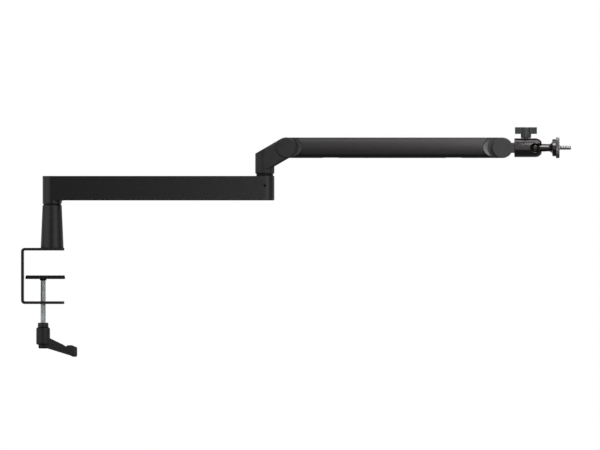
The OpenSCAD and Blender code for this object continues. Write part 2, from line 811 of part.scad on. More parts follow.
module head_hinge_bush() color("#c9a86a") on_hinge(hinge2_x)
    ring(hinge_bore2_r + hinge_bush_wall - seat_fit, hinge_bore2_r, -tongue_y, tongue_y);

module fitting_screws() color("#3a3b3d") {
    at_elbow_end() at_plug_screws(elbow_dish_out) plug_screw();
    at_head_end() at_plug_screws(head_dish_out) plug_screw();
}

module plug_screw() {
    countersunk(plug_screw_r, plug_screw_len, plug_screw_r * 0.6);
}

module upper_arm_tube() color("#2d2e30") difference() {
    translate([dish1_x, 0, hinge_z]) rotate([90, 0, 90]) linear_extrude(dish2_x - dish1_x) difference() {
        circle(arm_r);
        translate([-arm_r - 1, -arm_r - 1]) square([2 * arm_r + 2, arm_r + 1 - cover_line]);
        translate([-upper_channel_y, -arm_r]) square([upper_channel_w, arm_r + upper_channel_roof]);
    }
    at_elbow_end() dish_reach(elbow_dish_out);
    at_head_end() dish_reach(head_dish_out);
    at_elbow_end() at_plug_screws(elbow_dish_out) rod(plug_screw_r + run_fit, -plug_screw_len - 0.5, 0);
    at_head_end() at_plug_screws(head_dish_out) rod(plug_screw_r + run_fit, -plug_screw_len - 0.5, 0);
}

module upper_cable_cover() color("#2b2c2e") {
    clip_y = upper_channel_y - clip_gap - clip_t;
    mouth1_x = plug1_x + mouth_margin;
    mouth2_x = plug2_x - mouth_margin;
    reach = mouth2_x - mouth1_x - 2 * mouth_len;
    difference() {
        translate([dish1_x, 0, hinge_z]) rotate([90, 0, 90]) linear_extrude(dish2_x - dish1_x) intersection() {
            circle(arm_r);
            translate([-arm_r - 1, -arm_r - 1]) square([2 * arm_r + 2, arm_r + 1 - cover_line - seat_fit]);
        }
        at_elbow_end() dish_reach(elbow_dish_out);
        at_head_end() dish_reach(head_dish_out);
        block([dish1_x, -clip_y, hinge_z - arm_r + upper_cover_t], [dish2_x, clip_y, hinge_z]);
        for (x = [mouth1_x, mouth2_x - mouth_len])
            block([x, -upper_mouth_w / 2, hinge_z - 2 * arm_r], [x + mouth_len, upper_mouth_w / 2, hinge_z]);
    }
    for (i = [0 : clip_n - 1], side = [0, 1]) mirror([0, side, 0])
        translate([mouth1_x + mouth_len + (i + 0.5) * reach / clip_n - clip_len / 2, clip_y,
            hinge_z - cover_line - 1]) cube([clip_len, clip_t, clip_h]);
}

// Head fork

module head_fork() color("#2f3032") {
    bridge_x = arm_r + 0.45;
    difference() {
        union() {
            on_hinge(hinge2_x) for (side = [0, 1]) mirror([0, 0, side]) bevelled_disc(fork_r, cheek_y, fork_y, 0.8);
            intersection() {
                block([hinge2_x, -fork_y, hinge_z - bridge_h / 2],
                    [hinge2_x + head_setback, fork_y, hinge_z + bridge_h / 2]);
                along_x(hinge2_x) cylinder(r = fork_y + 1.2, h = far);
            }
            along_x(hinge2_x) rod(stud_r, head_setback - 0.5, head_setback + fork_stud_len);
        }
        on_hinge(hinge2_x) {
            rod(bridge_x, -cheek_y, cheek_y);
            hinge_hole(head_bolt_d / 2);
        }
    }
}

module head_hinge_bolt() color("#55575a") on_hinge(hinge2_x) hinge_bolt(head_bolt_d / 2);

module head_friction_washers() color("#b9b4a6") on_hinge(hinge2_x) friction_washers(head_bolt_d / 2);

// Ball head

module housing_shell() {
    dome_centre = ball_x - housing_x + housing_nose - sqrt(dome_r * dome_r - pow(dome_flat() - (housing_r - dome_r), 2));
    along_x(housing_x) intersection() {
        rotate_extrude() {
            square([housing_r, dome_centre]);
            square([housing_r - dome_r, dome_centre + dome_r]);
            intersection() {
                translate([housing_r - dome_r, dome_centre]) circle(dome_r);
                square([housing_r, far]);
            }
        }
        rod(far, 0, ball_setback + housing_nose);
    }
}

// Radius at which the dome meets the front face
function dome_flat() = mouth_d / 2 + 0.8;

module ball_housing() color("#0c0c0d") difference() {
    housing_shell();
    along_x(housing_x) {
        seat_h = sqrt(pow(ball_r + run_fit, 2) - pow(mouth_d / 2, 2));
        revolve([[0, -1], [bore_r, -1], [bore_r, ball_setback + seat_h - 2.6],
            [mouth_d / 2, ball_setback + seat_h], [mouth_d / 2, far], [0, far]]);
    }
    translate([ball_x, 0, hinge_z]) {
        rotate([90, 0, 0]) cylinder(r = notch_w / 2, h = far);
        block([0, -far, -notch_w / 2], [far, 0, notch_w / 2]);
    }
    translate([lock_x, 0, hinge_z]) rod(lock_r + run_fit, 0, far);
}

module housing_plug() color("#1a1a1b") along_x(housing_x)
    ring(bore_r - seat_fit, stud_bore_r, plug_gap, plug_gap + housing_plug_len);

module ball_cup() color("#a9a08a") difference() {
    translate([0, 0, hinge_z]) rotate([0, 90, 0]) {
        groove_x = lock_x - 0.3;
        revolve([[0, cup_x0], [bore_r - seat_fit, cup_x0], [bore_r - seat_fit, groove_x - seat_groove - 0.5],
            [bore_r - seat_groove, groove_x - 0.5], [bore_r - seat_groove, groove_x + 0.5],
            [bore_r - seat_fit, groove_x + seat_groove + 0.5], [bore_r - seat_fit, cup_x1], [0, cup_x1]]);
    }
    translate([ball_x, 0, hinge_z]) sphere(r = ball_r + run_fit);
}

module lock_pin() color("#c9a86a") translate([lock_x, 0, hinge_z]) {
    tip_r = lock_r - 0.1;
    revolve([[0, pin_z], [0.6, pin_z], [tip_r, pin_z + tip_r - 0.6], [tip_r, pin_top], [lock_r / 2, pin_top],
        [lock_r / 2, pin_top + 2.8], [0, pin_top + 2.8]]);
}

module lock_screw() color("#77797c") translate([lock_x, 0, hinge_z]) difference() {
    rod(lock_r, pin_top + face_fit, knob_z + knob_stem_h + knob_wing_h - 4);
    rod(lock_r / 2 + run_fit, pin_top - 1, pin_top + 3);
}

module lock_knob() color("#222423") translate([lock_x, 0, hinge_z + knob_z]) {
    stem_r = knob_stem_d / 2;
    top = knob_stem_h + knob_wing_h;
    wing_end = knob_wing_len / 2 - knob_wing_t / 2;
    difference() {
        union() {
            revolve([[0, 0], [stem_r - 0.5, 0], [stem_r, 0.5], [stem_r, top - 0.8], [stem_r - 0.8, top], [0, top]]);
            translate([0, 0, knob_stem_h]) linear_extrude(knob_wing_h) {
                square([2 * wing_end, knob_wing_t], center = true);
                for (x = [-wing_end, wing_end]) translate([x, 0]) circle(knob_wing_t / 2);
            }
        }
        rod(lock_r + seat_fit, -1, top - 3.9);
    }
}

// Ball stem, stud and thumb disc

module ball_stem() color("#0c0c0d") along_x(ball_x) difference() {
    union() {
        sphere(r = ball_r);
        rod(neck_rod_r, 0, hub_end);
        translate([0, 0, hub_start]) rotate_extrude() difference() {
            square([neck_rod_r + flare_r, flare_r]);
            translate([neck_rod_r + flare_r, 0]) circle(flare_r);
        }
        bevelled_disc(flare_d / 2, hub_start + flare_r, hub_end, 0.6);
    }
    rod(stud_r + seat_fit, hub_end - stud_grip, hub_end + 1);
}

module mount_stud() color("#7f8184") along_x(ball_x)
    revolve([[0, hub_end - stud_grip + 0.2], [stud_r, hub_end - stud_grip + 0.2], [stud_r, stud_face - 0.8],
        [stud_r - 0.4, stud_face - 0.8], [stud_r - 0.4, stud_face], [stud_r, stud_face],
        [stud_r, stud_face + stud_len - 0.8], [stud_r - 0.8, stud_face + stud_len], [0, stud_face + stud_len]]);

module lock_disc() color("#2c2d2e") along_x(disc_x) difference() {
    revolve([[0, 0], [disc_d / 2 - 0.5, 0], [disc_d / 2, 0.5], [disc_d / 2, disc_t - 0.5],
        [disc_d / 2 - 0.5, disc_t], [0, disc_t]]);
    rod(stud_bore_r, -1, disc_t + 1);
}

module disc_pad() color("#5c5d5e") along_x(pad_x)
    ring(disc_d / 2 - 0.5, stud_r + 0.3, face_fit, disc_pad_t);

// Pressure plate

module plate_plan(inset) {
    r = plate_corner_r - inset;
    x0 = plate_x0 + plate_corner_r;
    x1 = plate_x0 + plate_len - plate_corner_r;
    y = plate_w / 2 - plate_corner_r;
    translate([x0 - r, -y]) square([x1 - x0 + 2 * r, 2 * y]);
    translate([x0, -y - r]) square([x1 - x0, 2 * (y + r)]);
    for (x = [x0, x1], side = [-1, 1]) translate([x, side * y]) circle(r);
}

module pressure_plate() color("#1d1e1f") difference() {
    union() {
        translate([0, 0, plate_z - plate_t]) linear_extrude(plate_t) plate_plan(0);
        translate([screw_x, 0, 0]) rod(plate_boss_d / 2, boss_z, plate_z - plate_t + 0.5);
    }
    translate([screw_x, 0, 0]) {
        rod(tip_d / 2 + run_fit, boss_z - 1, plate_z + 1);
        rod(ring_d / 2 + loose_fit, ring_z - face_fit, plate_z + 1);
    }
}

module pressure_pad() color("#131314")
    translate([0, 0, plate_z]) linear_extrude(pad_t) plate_plan(0.5);

// Clamp screw and ratchet lever, on the screw's own axis
module on_screw() {
    translate([screw_x, 0, 0]) children();
}

module clamp_screw() color("#c4c7ca") on_screw()
    revolve([[0, plate_z - 0.1], [tip_d / 2, plate_z - 0.1], [tip_d / 2, ring_z + ring_t + face_fit],
        [tip_d / 2 - ring_bite, ring_z + ring_t + face_fit], [tip_d / 2 - ring_bite, ring_z - face_fit],
        [tip_d / 2, ring_z - face_fit], [tip_d / 2, boss_z - face_fit], [screw_r - 0.5, boss_z - face_fit], [screw_r, boss_z - 0.5 - face_fit],
        [screw_r, insert_z], [0, insert_z]]);

module screw_retainer() color("#6b6d70") on_screw()
    ring(ring_d / 2, tip_d / 2 - ring_bite + seat_fit, ring_z, ring_z + ring_t);

// Outline of the teeth, grown all round by a gap
module tooth_outline(gap) {
    step = 360 / tooth_n;
    polygon([for (i = [0 : tooth_n - 1], k = [0, 1])
        let (r = tooth_tip_r - k * tooth_depth + gap, a = (i + k / 2) * step) [r * cos(a), r * sin(a)]]);
}

module lever_insert() color("#2a2b2d") on_screw() difference() {
    union() {
        revolve([[0, collar_z], [collar_d / 2 - 0.8, collar_z], [collar_d / 2, collar_z - 0.8],
            [collar_d / 2, insert_z], [0, insert_z]]);
        translate([0, 0, insert_z - tooth_len]) linear_extrude(tooth_len + 0.1) tooth_outline(0);
        rod(guide_r, guide_end_z, insert_z);
    }
    rod(screw_r + seat_fit, insert_z, collar_z + 1);
    rod(lever_screw_r() + run_fit, guide_end_z - 1, insert_z - 3);
}

// Radius of the retaining screw's shank
function lever_screw_r() = guide_r * 0.45;

module lever_screw() color("#3a3b3d") on_screw() difference() {
    head_r = chamber_r - 0.6;
    revolve([[0, insert_z - 4], [lever_screw_r(), insert_z - 4], [lever_screw_r(), guide_end_z],
        [guide_r, guide_end_z], [guide_r, lever_screw_z], [head_r, lever_screw_z],
        [head_r, lever_screw_z - lever_screw_head], [0, lever_screw_z - lever_screw_head]]);
    hex_socket(guide_r * 0.5, lever_screw_z - lever_screw_head - 1, lever_screw_z - 0.6);
}

// Helical spring between the lever's web and the retaining screw's head
module lever_spring() color("#9a9c9f") on_screw() {
    sides = 6;
    per_turn = 14;
    wire_r = wire_d / 2;
    coil_r = (guide_r + chamber_r) / 2;
    low = lever_screw_z + wire_r + 0.05;
    high = web_z - web_t - wire_r - 0.05;
    rings = ceil(spring_turns * per_turn);
    points = [for (i = [0 : rings], k = [0 : sides - 1])
        let (turn = 360 * spring_turns * i / rings, a = 360 * k / sides, r = coil_r + wire_r * cos(a))
            [r * cos(turn), r * sin(turn), low + (high - low) * i / rings + wire_r * sin(a)]];
    walls = [for (i = [0 : rings - 1], k = [0 : sides - 1])
        let (a = i * sides + k, b = i * sides + (k + 1) % sides) each [[a, a + sides, b], [b, a + sides, b + sides]]];
    foot = [for (k = [1 : sides - 2]) [0, k, k + 1]];
    head = [for (k = [1 : sides - 2]) [rings * sides, rings * sides + k + 1, rings * sides + k]];
    polyhedron(points, concat(walls, foot, head));
}

function lever_top(x) = -lever_top_drop - x * tan(lever_top_slope);
function lever_low(x) = -lever_low_drop - x * tan(lever_low_slope);

// Side view of the handle, measured from the hub's top on the axis
module lever_side() {
    rest_x = lever_reach * 0.58;
    notch_x = lever_reach * 0.67;
    thumb_x = lever_reach * 0.71;
    thumb_end = lever_reach * 0.84;
    notch_z = lever_top(notch_x) - 0.6;
    thumb_z = notch_z + 1.8;
    tip_top = notch_z - 1.1;
    polygon([[0, lever_top(0)], [rest_x, lever_top(rest_x)], [notch_x, notch_z], [thumb_x, thumb_z],
        [thumb_end, thumb_z], [lever_reach - 0.8, tip_top], [lever_reach, tip_top - 1],
        [lever_reach, -lever_tip_drop + 1.3], [lever_reach - 1.2, -lever_tip_drop],
        [lever_reach - lever_tip_len, -lever_tip_drop], [lever_reach * 0.79, lever_low(lever_reach * 0.79)],
        [0, lever_low(0)]]);
}

// Plan of the handle, tapering to a round tip
module lever_plan() {
    tip_r = lever_tip_w / 2;
    polygon([[0, -lever_root_w / 2], [lever_reach - tip_r, -tip_r], [lever_reach - tip_r, tip_r],
        [0, lever_root_w / 2]]);
    translate([lever_reach - tip_r, 0]) circle(tip_r);
}

module clamp_lever() color("#222325") translate([screw_x, 0, hub_top_z]) {
    low_bevel = 1.2;
    difference() {
        union() {
            revolve([[0, 0], [hub_r - lever_hub_bevel, 0], [hub_r, -lever_hub_bevel],
                [hub_r, -lever_hub_h + low_bevel], [hub_r - low_bevel, -lever_hub_h], [0, -lever_hub_h]]);
            intersection() {
                translate([0, far / 2, 0]) rotate([90, 0, 0]) linear_extrude(far) lever_side();
                translate([0, 0, -far]) linear_extrude(far) lever_plan();
            }
        }
        translate([0, 0, -tooth_len - 0.6]) linear_extrude(far) tooth_outline(tooth_gap);
        rod(guide_r + run_fit, -far, 0);
        rod(chamber_r, -far, web_z - web_t - hub_top_z);
        rod(lever_cap_d / 2 + run_fit, -far, -lever_hub_h);
    }
}

module lever_cap() color("#1c1d1e") translate([screw_x, 0, hub_low_z]) {
    bevel = 1.4;
    revolve([[0, 1.2], [chamber_r - seat_fit, 1.2], [chamber_r - seat_fit, 0], [lever_cap_d / 2, 0],
        [lever_cap_d / 2, -lever_cap_h + bevel], [lever_cap_d / 2 - bevel, -lever_cap_h], [0, -lever_cap_h]]);
}

clamp_frame();
riser();
riser_screws();
base_spindle();
base_thrust_washer();
pressure_plate();
pressure_pad();
clamp_screw();
screw_retainer();
lever_insert();
lever_spring();
lever_screw();
clamp_lever();
lever_cap();
lower_arm_beam();
lower_cable_cover();
base_bush();
base_spring_washer();
base_cap();
elbow_bush_upper();
elbow_bush_lower();
elbow_bore_cap();
elbow_grub_screw();
elbow_brake_plug();
elbow_housing();
elbow_spigot();
elbow_hinge_bolt();
elbow_friction_washers();
upper_arm_tube();
upper_cable_cover();
elbow_end_fitting();
head_end_fitting();
elbow_hinge_bush();
head_hinge_bush();
fitting_screws();
head_fork();
head_hinge_bolt();
head_friction_washers();
ball_housing();
housing_plug();
ball_cup();
lock_pin();
lock_screw();
lock_knob();
ball_stem();
mount_stud();
disc_pad();
lock_disc();
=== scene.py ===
"""Looks of a low-profile desk boom arm for a microphone, dressed round its CAD frame.

Sizes are in millimetres in the dataclasses and become metres when a mesh is written. The frame's origin is on the
post's axis at the underside of the clamp's top jaw, +X runs along the arms and -Y faces the front.
"""

from __future__ import annotations

import json
import logging
import math
from dataclasses import dataclass
from enum import Enum
from typing import ClassVar, Iterable, Sequence

import bmesh
import bpy
from mathutils import Matrix, Vector

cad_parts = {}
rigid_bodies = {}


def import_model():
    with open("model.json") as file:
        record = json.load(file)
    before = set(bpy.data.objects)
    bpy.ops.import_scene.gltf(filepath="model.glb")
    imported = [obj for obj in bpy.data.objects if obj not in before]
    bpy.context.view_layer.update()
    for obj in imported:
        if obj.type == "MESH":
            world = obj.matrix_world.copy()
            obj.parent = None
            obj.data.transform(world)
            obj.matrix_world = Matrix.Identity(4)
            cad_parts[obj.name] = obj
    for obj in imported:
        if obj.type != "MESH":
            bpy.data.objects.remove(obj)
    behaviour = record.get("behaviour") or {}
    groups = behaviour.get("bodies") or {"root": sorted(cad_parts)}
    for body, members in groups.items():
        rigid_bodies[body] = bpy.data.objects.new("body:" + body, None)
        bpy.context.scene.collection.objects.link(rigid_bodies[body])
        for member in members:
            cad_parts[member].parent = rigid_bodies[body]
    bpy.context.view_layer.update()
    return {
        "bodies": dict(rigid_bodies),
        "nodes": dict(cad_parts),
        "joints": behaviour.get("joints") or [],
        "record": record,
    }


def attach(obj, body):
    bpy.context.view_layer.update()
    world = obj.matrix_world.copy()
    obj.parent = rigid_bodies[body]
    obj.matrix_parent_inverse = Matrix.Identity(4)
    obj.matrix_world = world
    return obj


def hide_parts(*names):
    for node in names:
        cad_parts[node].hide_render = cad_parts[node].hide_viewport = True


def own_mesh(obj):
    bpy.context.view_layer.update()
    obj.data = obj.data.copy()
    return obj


LOG = logging.getLogger("boom_arm")
MM = 0.001
ABOUT_Z = {"cent": (0, 0, 0), "axis": (0, 0, 1)}

Shape = bmesh.types.BMesh
Object = bpy.types.Object
Material = bpy.types.Material
Socket = bpy.types.NodeSocket
Point = tuple[float, float, float]
Profile = Sequence[tuple[float, float]]


class Axis(Enum):
    """The three axes, as the turn that brings a shape's own Z onto each."""

    X = Matrix.Rotation(math.pi / 2, 4, "Y")
    Y = Matrix.Rotation(-math.pi / 2, 4, "X")
    Z = Matrix.Identity(4)


class Grain(Enum):
    """Fine relief that a surface is made with."""

    BLASTED = "even fine pits of bead-blasted, anodised metal"
    POWDER = "soft orange peel of a powder coat"
    EXTRUDED = "faint die lines along X under blasting"
    TURNED = "fine rings round an axis"
    MOULDED = "eroded grain of a plastic mould"
    SMOOTH = "polish with a trace of unevenness"


# Finishes


class NodeSketch:
    """Shorthand for wiring the nodes of a material or of the world."""

    def __init__(self, tree: bpy.types.NodeTree) -> None:
        """Starts from an empty tree."""
        self.tree = tree
        self.tree.nodes.clear()

    def add(self, kind: str, **settings: str) -> bpy.types.Node:
        """Adds a node.

        Args:
            kind: Type name of the node.
            settings: Its properties by name.

        Returns:
            The node.
        """
        node = self.tree.nodes.new(kind)
        for name, value in settings.items():
            setattr(node, name, value)
        return node

    def join(self, source: Socket, target: Socket) -> None:
        """Links two sockets."""
        self.tree.links.new(source, target)

    def wired(
        self,
        kind: str,
        output: str,
        links: dict[str | int, Socket],
        values: dict[str, float | Sequence[float]] | None = None,
        **settings: str,
    ) -> Socket:
        """Adds a node whose inputs are linked or set.

        Args:
            kind: Type name of the node.
            output: Name of the output that is wanted.
            links: What is linked to its inputs.
            values: What its other inputs are set to.
            settings: Its properties by name.

        Returns:
            The output.
        """
        node = self.add(kind, **settings)
        for name, value in (values or {}).items():
            node.inputs[name].default_value = value
        for name, source in links.items():
            self.join(source, node.inputs[name])
        return node.outputs[output]

    def noise(self, where: Socket, scale: float, detail: float = 2.0) -> Socket:
        """Noise between 0 and 1 at that many features per millimetre."""
        return self.wired("ShaderNodeTexNoise", "Fac", {"Vector": where}, {"Scale": scale, "Detail": detail})

    def ramp(self, value: Socket, stops: Sequence[tuple[float, Iterable[float]]]) -> Socket:
        """A colour ramp.

        Args:
            value: What picks the colour.
            stops: Two pairs of position and colour.

        Returns:
            The colour.
        """
        node = self.add("ShaderNodeValToRGB")
        for element, (position, colour) in zip(node.color_ramp.elements, stops):
            element.position = position
            element.color = (*colour, 1.0)
        self.join(value, node.inputs["Fac"])
        return node.outputs["Color"]

    def multiplied(self, a: Socket, b: Socket) -> Socket:
        """One colour times another."""
        how = {"data_type": "RGBA", "blend_type": "MULTIPLY"}
        return self.wired("ShaderNodeMix", "Result", {"A": a, "B": b}, {"Factor": 1.0}, **how)

    def blend_values(self, a: Socket, b: Socket, share: float) -> Socket:
        """A value between two others."""
        return self.wired("ShaderNodeMix", "Result", {"A": a, "B": b}, {"Factor": share}, data_type="FLOAT")

    def span(self, value: Socket, low: float, high: float, to_low: float, to_high: float) -> Socket:
        """Maps a value from one range to another."""
        ends = {"From Min": low, "From Max": high, "To Min": to_low, "To Max": to_high}
        return self.wired("ShaderNodeMapRange", "Result", {"Value": value}, ends)

    def combined(self, how: str, a: Socket, b: Socket) -> Socket:
        """Two values put together by one of the Math node's operations."""
        return self.wired("ShaderNodeMath", "Value", {0: a, 1: b}, operation=how)

    def mix_shaders(self, share: Socket, a: Socket, b: Socket) -> Socket:
        """One shader fading into another."""
        return self.wired("ShaderNodeMixShader", "Shader", {"Fac": share, 1: a, 2: b})


@dataclass(frozen=True)
class Finish:
    """One surface finish and the procedural material that shows it.

    Attributes:
        name: Name of the finish, for its materials.
        colour: Linear base colour.
        roughness: Mean roughness.
        grain: Kind of relief.
        metallic: 1 for bare metal, 0 for anything else.
        specular: Specular level of a coat or plastic.
        grain_size: Distance between two pits or lines, in millimetres.
        relief: Depth of the relief, in millimetres.
        mottle: Share by which the colour wanders.
        noise_range: What a coarse noise's low and high values are.
        cloud_size: Size of the colour's clouds, in millimetres.
        patch_size: Size of the glossier and duller patches, in millimetres.
        speck: Share by which the grain lightens and darkens the colour.
        patchiness: Share of the roughness that it varies by.
        relief_strength: Strength of the relief.
        ring_scale: Scale of rings that lie a millimetre apart.
        ring_wobble: How much the rings wander.
        cell_scale: Scale of cells that are a millimetre wide.
        fine_share_of_rings: How much fine noise lies over rings.
        fine_share_of_cells: How much fine noise lies over cells.
        die_lines: How much longer than wide the grain of an extrusion is along each axis.
    """

    name: str
    colour: Point
    roughness: float
    grain: Grain
    metallic: float = 0.0
    specular: float = 0.5
    grain_size: float = 0.5
    relief: float = 0.01
    mottle: float = 0.12
    noise_range: ClassVar[tuple[float, float]] = (0.3, 0.7)
    cloud_size: ClassVar[float] = 24.0
    patch_size: ClassVar[float] = 7.0
    speck: ClassVar[float] = 0.14
    patchiness: ClassVar[float] = 0.22
    relief_strength: ClassVar[float] = 0.6
    ring_scale: ClassVar[float] = 0.32
    ring_wobble: ClassVar[float] = 0.4
    cell_scale: ClassVar[float] = 0.7
    fine_share_of_rings: ClassVar[float] = 0.35
    fine_share_of_cells: ClassVar[float] = 0.5
    die_lines: ClassVar[Point] = (40.0, 1.0, 1.0)

    def material(self, centre: Point = (0.0, 0.0, 0.0), axis: Axis = Axis.Z) -> Material:
        """Makes the finish's material for a piece.

        Args:
            centre: Point in millimetres that rings are centred on.
            axis: Axis that rings turn round.

        Returns:
            The material, shared by all pieces with the same centre and axis.
        """
        turned = self.grain is Grain.TURNED
        place = "_".join(f"{v:.0f}" for v in centre) + axis.name if turned else "any"
        name = f"{self.name}-{place}"
        if name in bpy.data.materials:
            return bpy.data.materials[name]
        made = bpy.data.materials.new(name)
        made.use_nodes = True
        sketch = NodeSketch(made.node_tree)
        self._shade(sketch, self._coordinates(sketch, centre, axis))
        return made

    def _coordinates(self, sketch: NodeSketch, centre: Point, axis: Axis) -> Socket:
        """Object coordinates in millimetres, turned so that the finish's axis is Z.

        Args:
            sketch: The material's nodes.
            centre: Point that becomes the middle.
            axis: Axis that becomes Z.

        Returns:
            The coordinates, stretched for die lines.
        """
        stretch = self.die_lines if self.grain is Grain.EXTRUDED else (1.0, 1.0, 1.0)
        place, size = [v * MM for v in centre], [s * MM for s in stretch]
        lie = {"Location": place, "Rotation": axis.value.to_euler(), "Scale": size}
        where = {"Vector": sketch.add("ShaderNodeTexCoord").outputs["Object"]}
        return sketch.wired("ShaderNodeMapping", "Vector", where, lie, vector_type="TEXTURE")

    def _shade(self, sketch: NodeSketch, where: Socket) -> None:
        """Builds colour, roughness and relief from noises at three scales.

        Args:
            sketch: The material's nodes.
            where: Coordinates in millimetres.
        """
        shader = sketch.add("ShaderNodeBsdfPrincipled")
        sketch.join(shader.outputs["BSDF"], sketch.add("ShaderNodeOutputMaterial").inputs["Surface"])
        shader.inputs["Metallic"].default_value = self.metallic
        shader.inputs["Specular IOR Level"].default_value = self.specular
        cloudy = sketch.noise(where, 1 / self.cloud_size, detail=3.0)
        dark = [c * (1 - self.mottle) for c in self.colour]
        light = [c * (1 + self.mottle) for c in self.colour]
        low, high = self.noise_range
        tone = sketch.ramp(cloudy, [(low, dark), (high, light)])
        fine = sketch.noise(where, 1 / self.grain_size)
        specks = sketch.ramp(fine, [(0.25, (1 - self.speck,) * 3), (0.75, (1 + self.speck,) * 3)])
        sketch.join(sketch.multiplied(tone, specks), shader.inputs["Base Color"])
        uneven = sketch.noise(where, 1 / self.patch_size, detail=4.0)
        drift = self.patchiness * self.roughness / 2
        roughness = sketch.span(uneven, low, high, self.roughness - drift, self.roughness + drift)
        sketch.join(roughness, shader.inputs["Roughness"])
        height = {"Height": self._height(sketch, where, fine)}
        depth = {"Strength": self.relief_strength, "Distance": self.relief * MM}
        sketch.join(sketch.wired("ShaderNodeBump", "Normal", height, depth), shader.inputs["Normal"])

    def _height(self, sketch: NodeSketch, where: Socket, fine: Socket) -> Socket:
        """The relief's height: rings for a turned skin, cells for a moulded or powder-coated one, else pits.

        Args:
            sketch: The material's nodes.
            where: Coordinates in millimetres.
            fine: The finish's fine noise.

        Returns:
            The height between 0 and 1.
        """
        if self.grain is Grain.TURNED:
            values = {"Scale": self.ring_scale / self.grain_size, "Distortion": self.ring_wobble}
            how = {"wave_type": "RINGS", "rings_direction": "Z"}
            rings = sketch.wired("ShaderNodeTexWave", "Fac", {"Vector": where}, values, **how)
            return sketch.blend_values(rings, fine, self.fine_share_of_rings)
        if self.grain in (Grain.MOULDED, Grain.POWDER):
            values = {"Scale": self.cell_scale / self.grain_size}
            cells = sketch.wired("ShaderNodeTexVoronoi", "Distance", {"Vector": where}, values, feature="SMOOTH_F1")
            return sketch.blend_values(cells, fine, self.fine_share_of_cells)
        return fine


STRIP_COAT = Finish("strip_coat", (0.014, 0.014, 0.0145), 0.42, Grain.POWDER, grain_size=0.8, relief=0.02)
POST_ANODISED = Finish("post_anodised", (0.019, 0.019, 0.0195), 0.36, Grain.BLASTED, specular=0.42, grain_size=0.35)
ARM_ANODISED = Finish(
    "arm_anodised", (0.015, 0.0145, 0.015), 0.36, Grain.EXTRUDED, specular=0.43, grain_size=0.35, relief=0.008
)
TUBE_ANODISED = Finish(
    "tube_anodised", (0.044, 0.0409, 0.0422), 0.45, Grain.EXTRUDED, specular=0.13, grain_size=0.35, relief=0.008
)
CAST_PAINT = Finish("cast_paint", (0.027, 0.0262, 0.0265), 0.48, Grain.BLASTED, specular=0.36, relief=0.016)
DISH_PAINT = Finish("dish_paint", (0.017, 0.0165, 0.0168), 0.55, Grain.BLASTED, specular=0.12)
# Painted highlight: a lighter copy of the fittings' paint, put on the dish cones in place of the light that falls
# on them.
DISH_PAINTED_HIGHLIGHT = Finish(
    "dish_painted_highlight", (0.15, 0.147, 0.149), 0.45, Grain.BLASTED, specular=0.3, grain_size=0.4, relief=0.008
)
GLOSS_BLACK = Finish("gloss_black", (0.006, 0.003, 0.0032), 0.17, Grain.SMOOTH, grain_size=1.5, relief=0.002)
BALL_BLACK = Finish(
    "ball_black", (0.006, 0.003, 0.0032), 0.17, Grain.SMOOTH, specular=0.4, grain_size=1.5, relief=0.001
)
PLATE_NYLON = Finish(
    "plate_nylon", (0.008, 0.0078, 0.008), 0.6, Grain.MOULDED, specular=0.28, grain_size=0.6, relief=0.03
)
MOULDED_NYLON = Finish("moulded_nylon", (0.016, 0.0155, 0.016), 0.5, Grain.MOULDED, grain_size=0.6, relief=0.03)
COVER_PLASTIC = Finish("cover_plastic", (0.014, 0.014, 0.0145), 0.52, Grain.MOULDED, relief=0.02)
ROUND_COVER = Finish("round_cover", (0.021, 0.0207, 0.0205), 0.6, Grain.MOULDED, specular=0.12, relief=0.02)
KNOB_PLASTIC = Finish("knob_plastic", (0.02, 0.024, 0.022), 0.4, Grain.MOULDED, grain_size=0.6, relief=0.02)
PAD_RUBBER = Finish("pad_rubber", (0.01, 0.01, 0.01), 0.75, Grain.MOULDED, grain_size=0.9, relief=0.05)
CORK_RUBBER = Finish(
    "cork_rubber", (0.08, 0.078, 0.079), 0.8, Grain.MOULDED, grain_size=1.2, relief=0.08, mottle=0.3
)
DISC_ANODISED = Finish("disc_anodised", (0.056, 0.053, 0.0535), 0.45, Grain.TURNED, grain_size=0.35)
ZINC_PLATE = Finish(
    "zinc_plate", (0.78, 0.8, 0.82), 0.38, Grain.SMOOTH, metallic=1.0, grain_size=1.2, relief=0.004
)
STUD_STEEL = Finish(
    "stud_steel", (0.37, 0.37, 0.38), 0.4, Grain.SMOOTH, metallic=1.0, grain_size=1.0, relief=0.004
)
GROUND_STEEL = Finish(
    "ground_steel", (0.42, 0.42, 0.43), 0.3, Grain.TURNED, metallic=1.0, grain_size=0.2, relief=0.004
)
BLACK_OXIDE = Finish("black_oxide", (0.018, 0.018, 0.02), 0.36, Grain.SMOOTH, grain_size=0.8, relief=0.006)
SUNK_SCREW = Finish(
    "sunk_screw", (0.004, 0.004, 0.0045), 0.5, Grain.SMOOTH, specular=0.15, grain_size=0.8, relief=0.004
)
NATURAL_ACETAL = Finish("natural_acetal", (0.5, 0.47, 0.39), 0.45, Grain.SMOOTH, grain_size=0.8, mottle=0.05)
BLACK_ACETAL = Finish("black_acetal", (0.006, 0.006, 0.006), 0.5, Grain.TURNED, specular=0.2, grain_size=0.3)
BRONZE = Finish("bronze", (0.45, 0.3, 0.13), 0.4, Grain.TURNED, metallic=1.0, grain_size=0.25, relief=0.006)


# Workshop


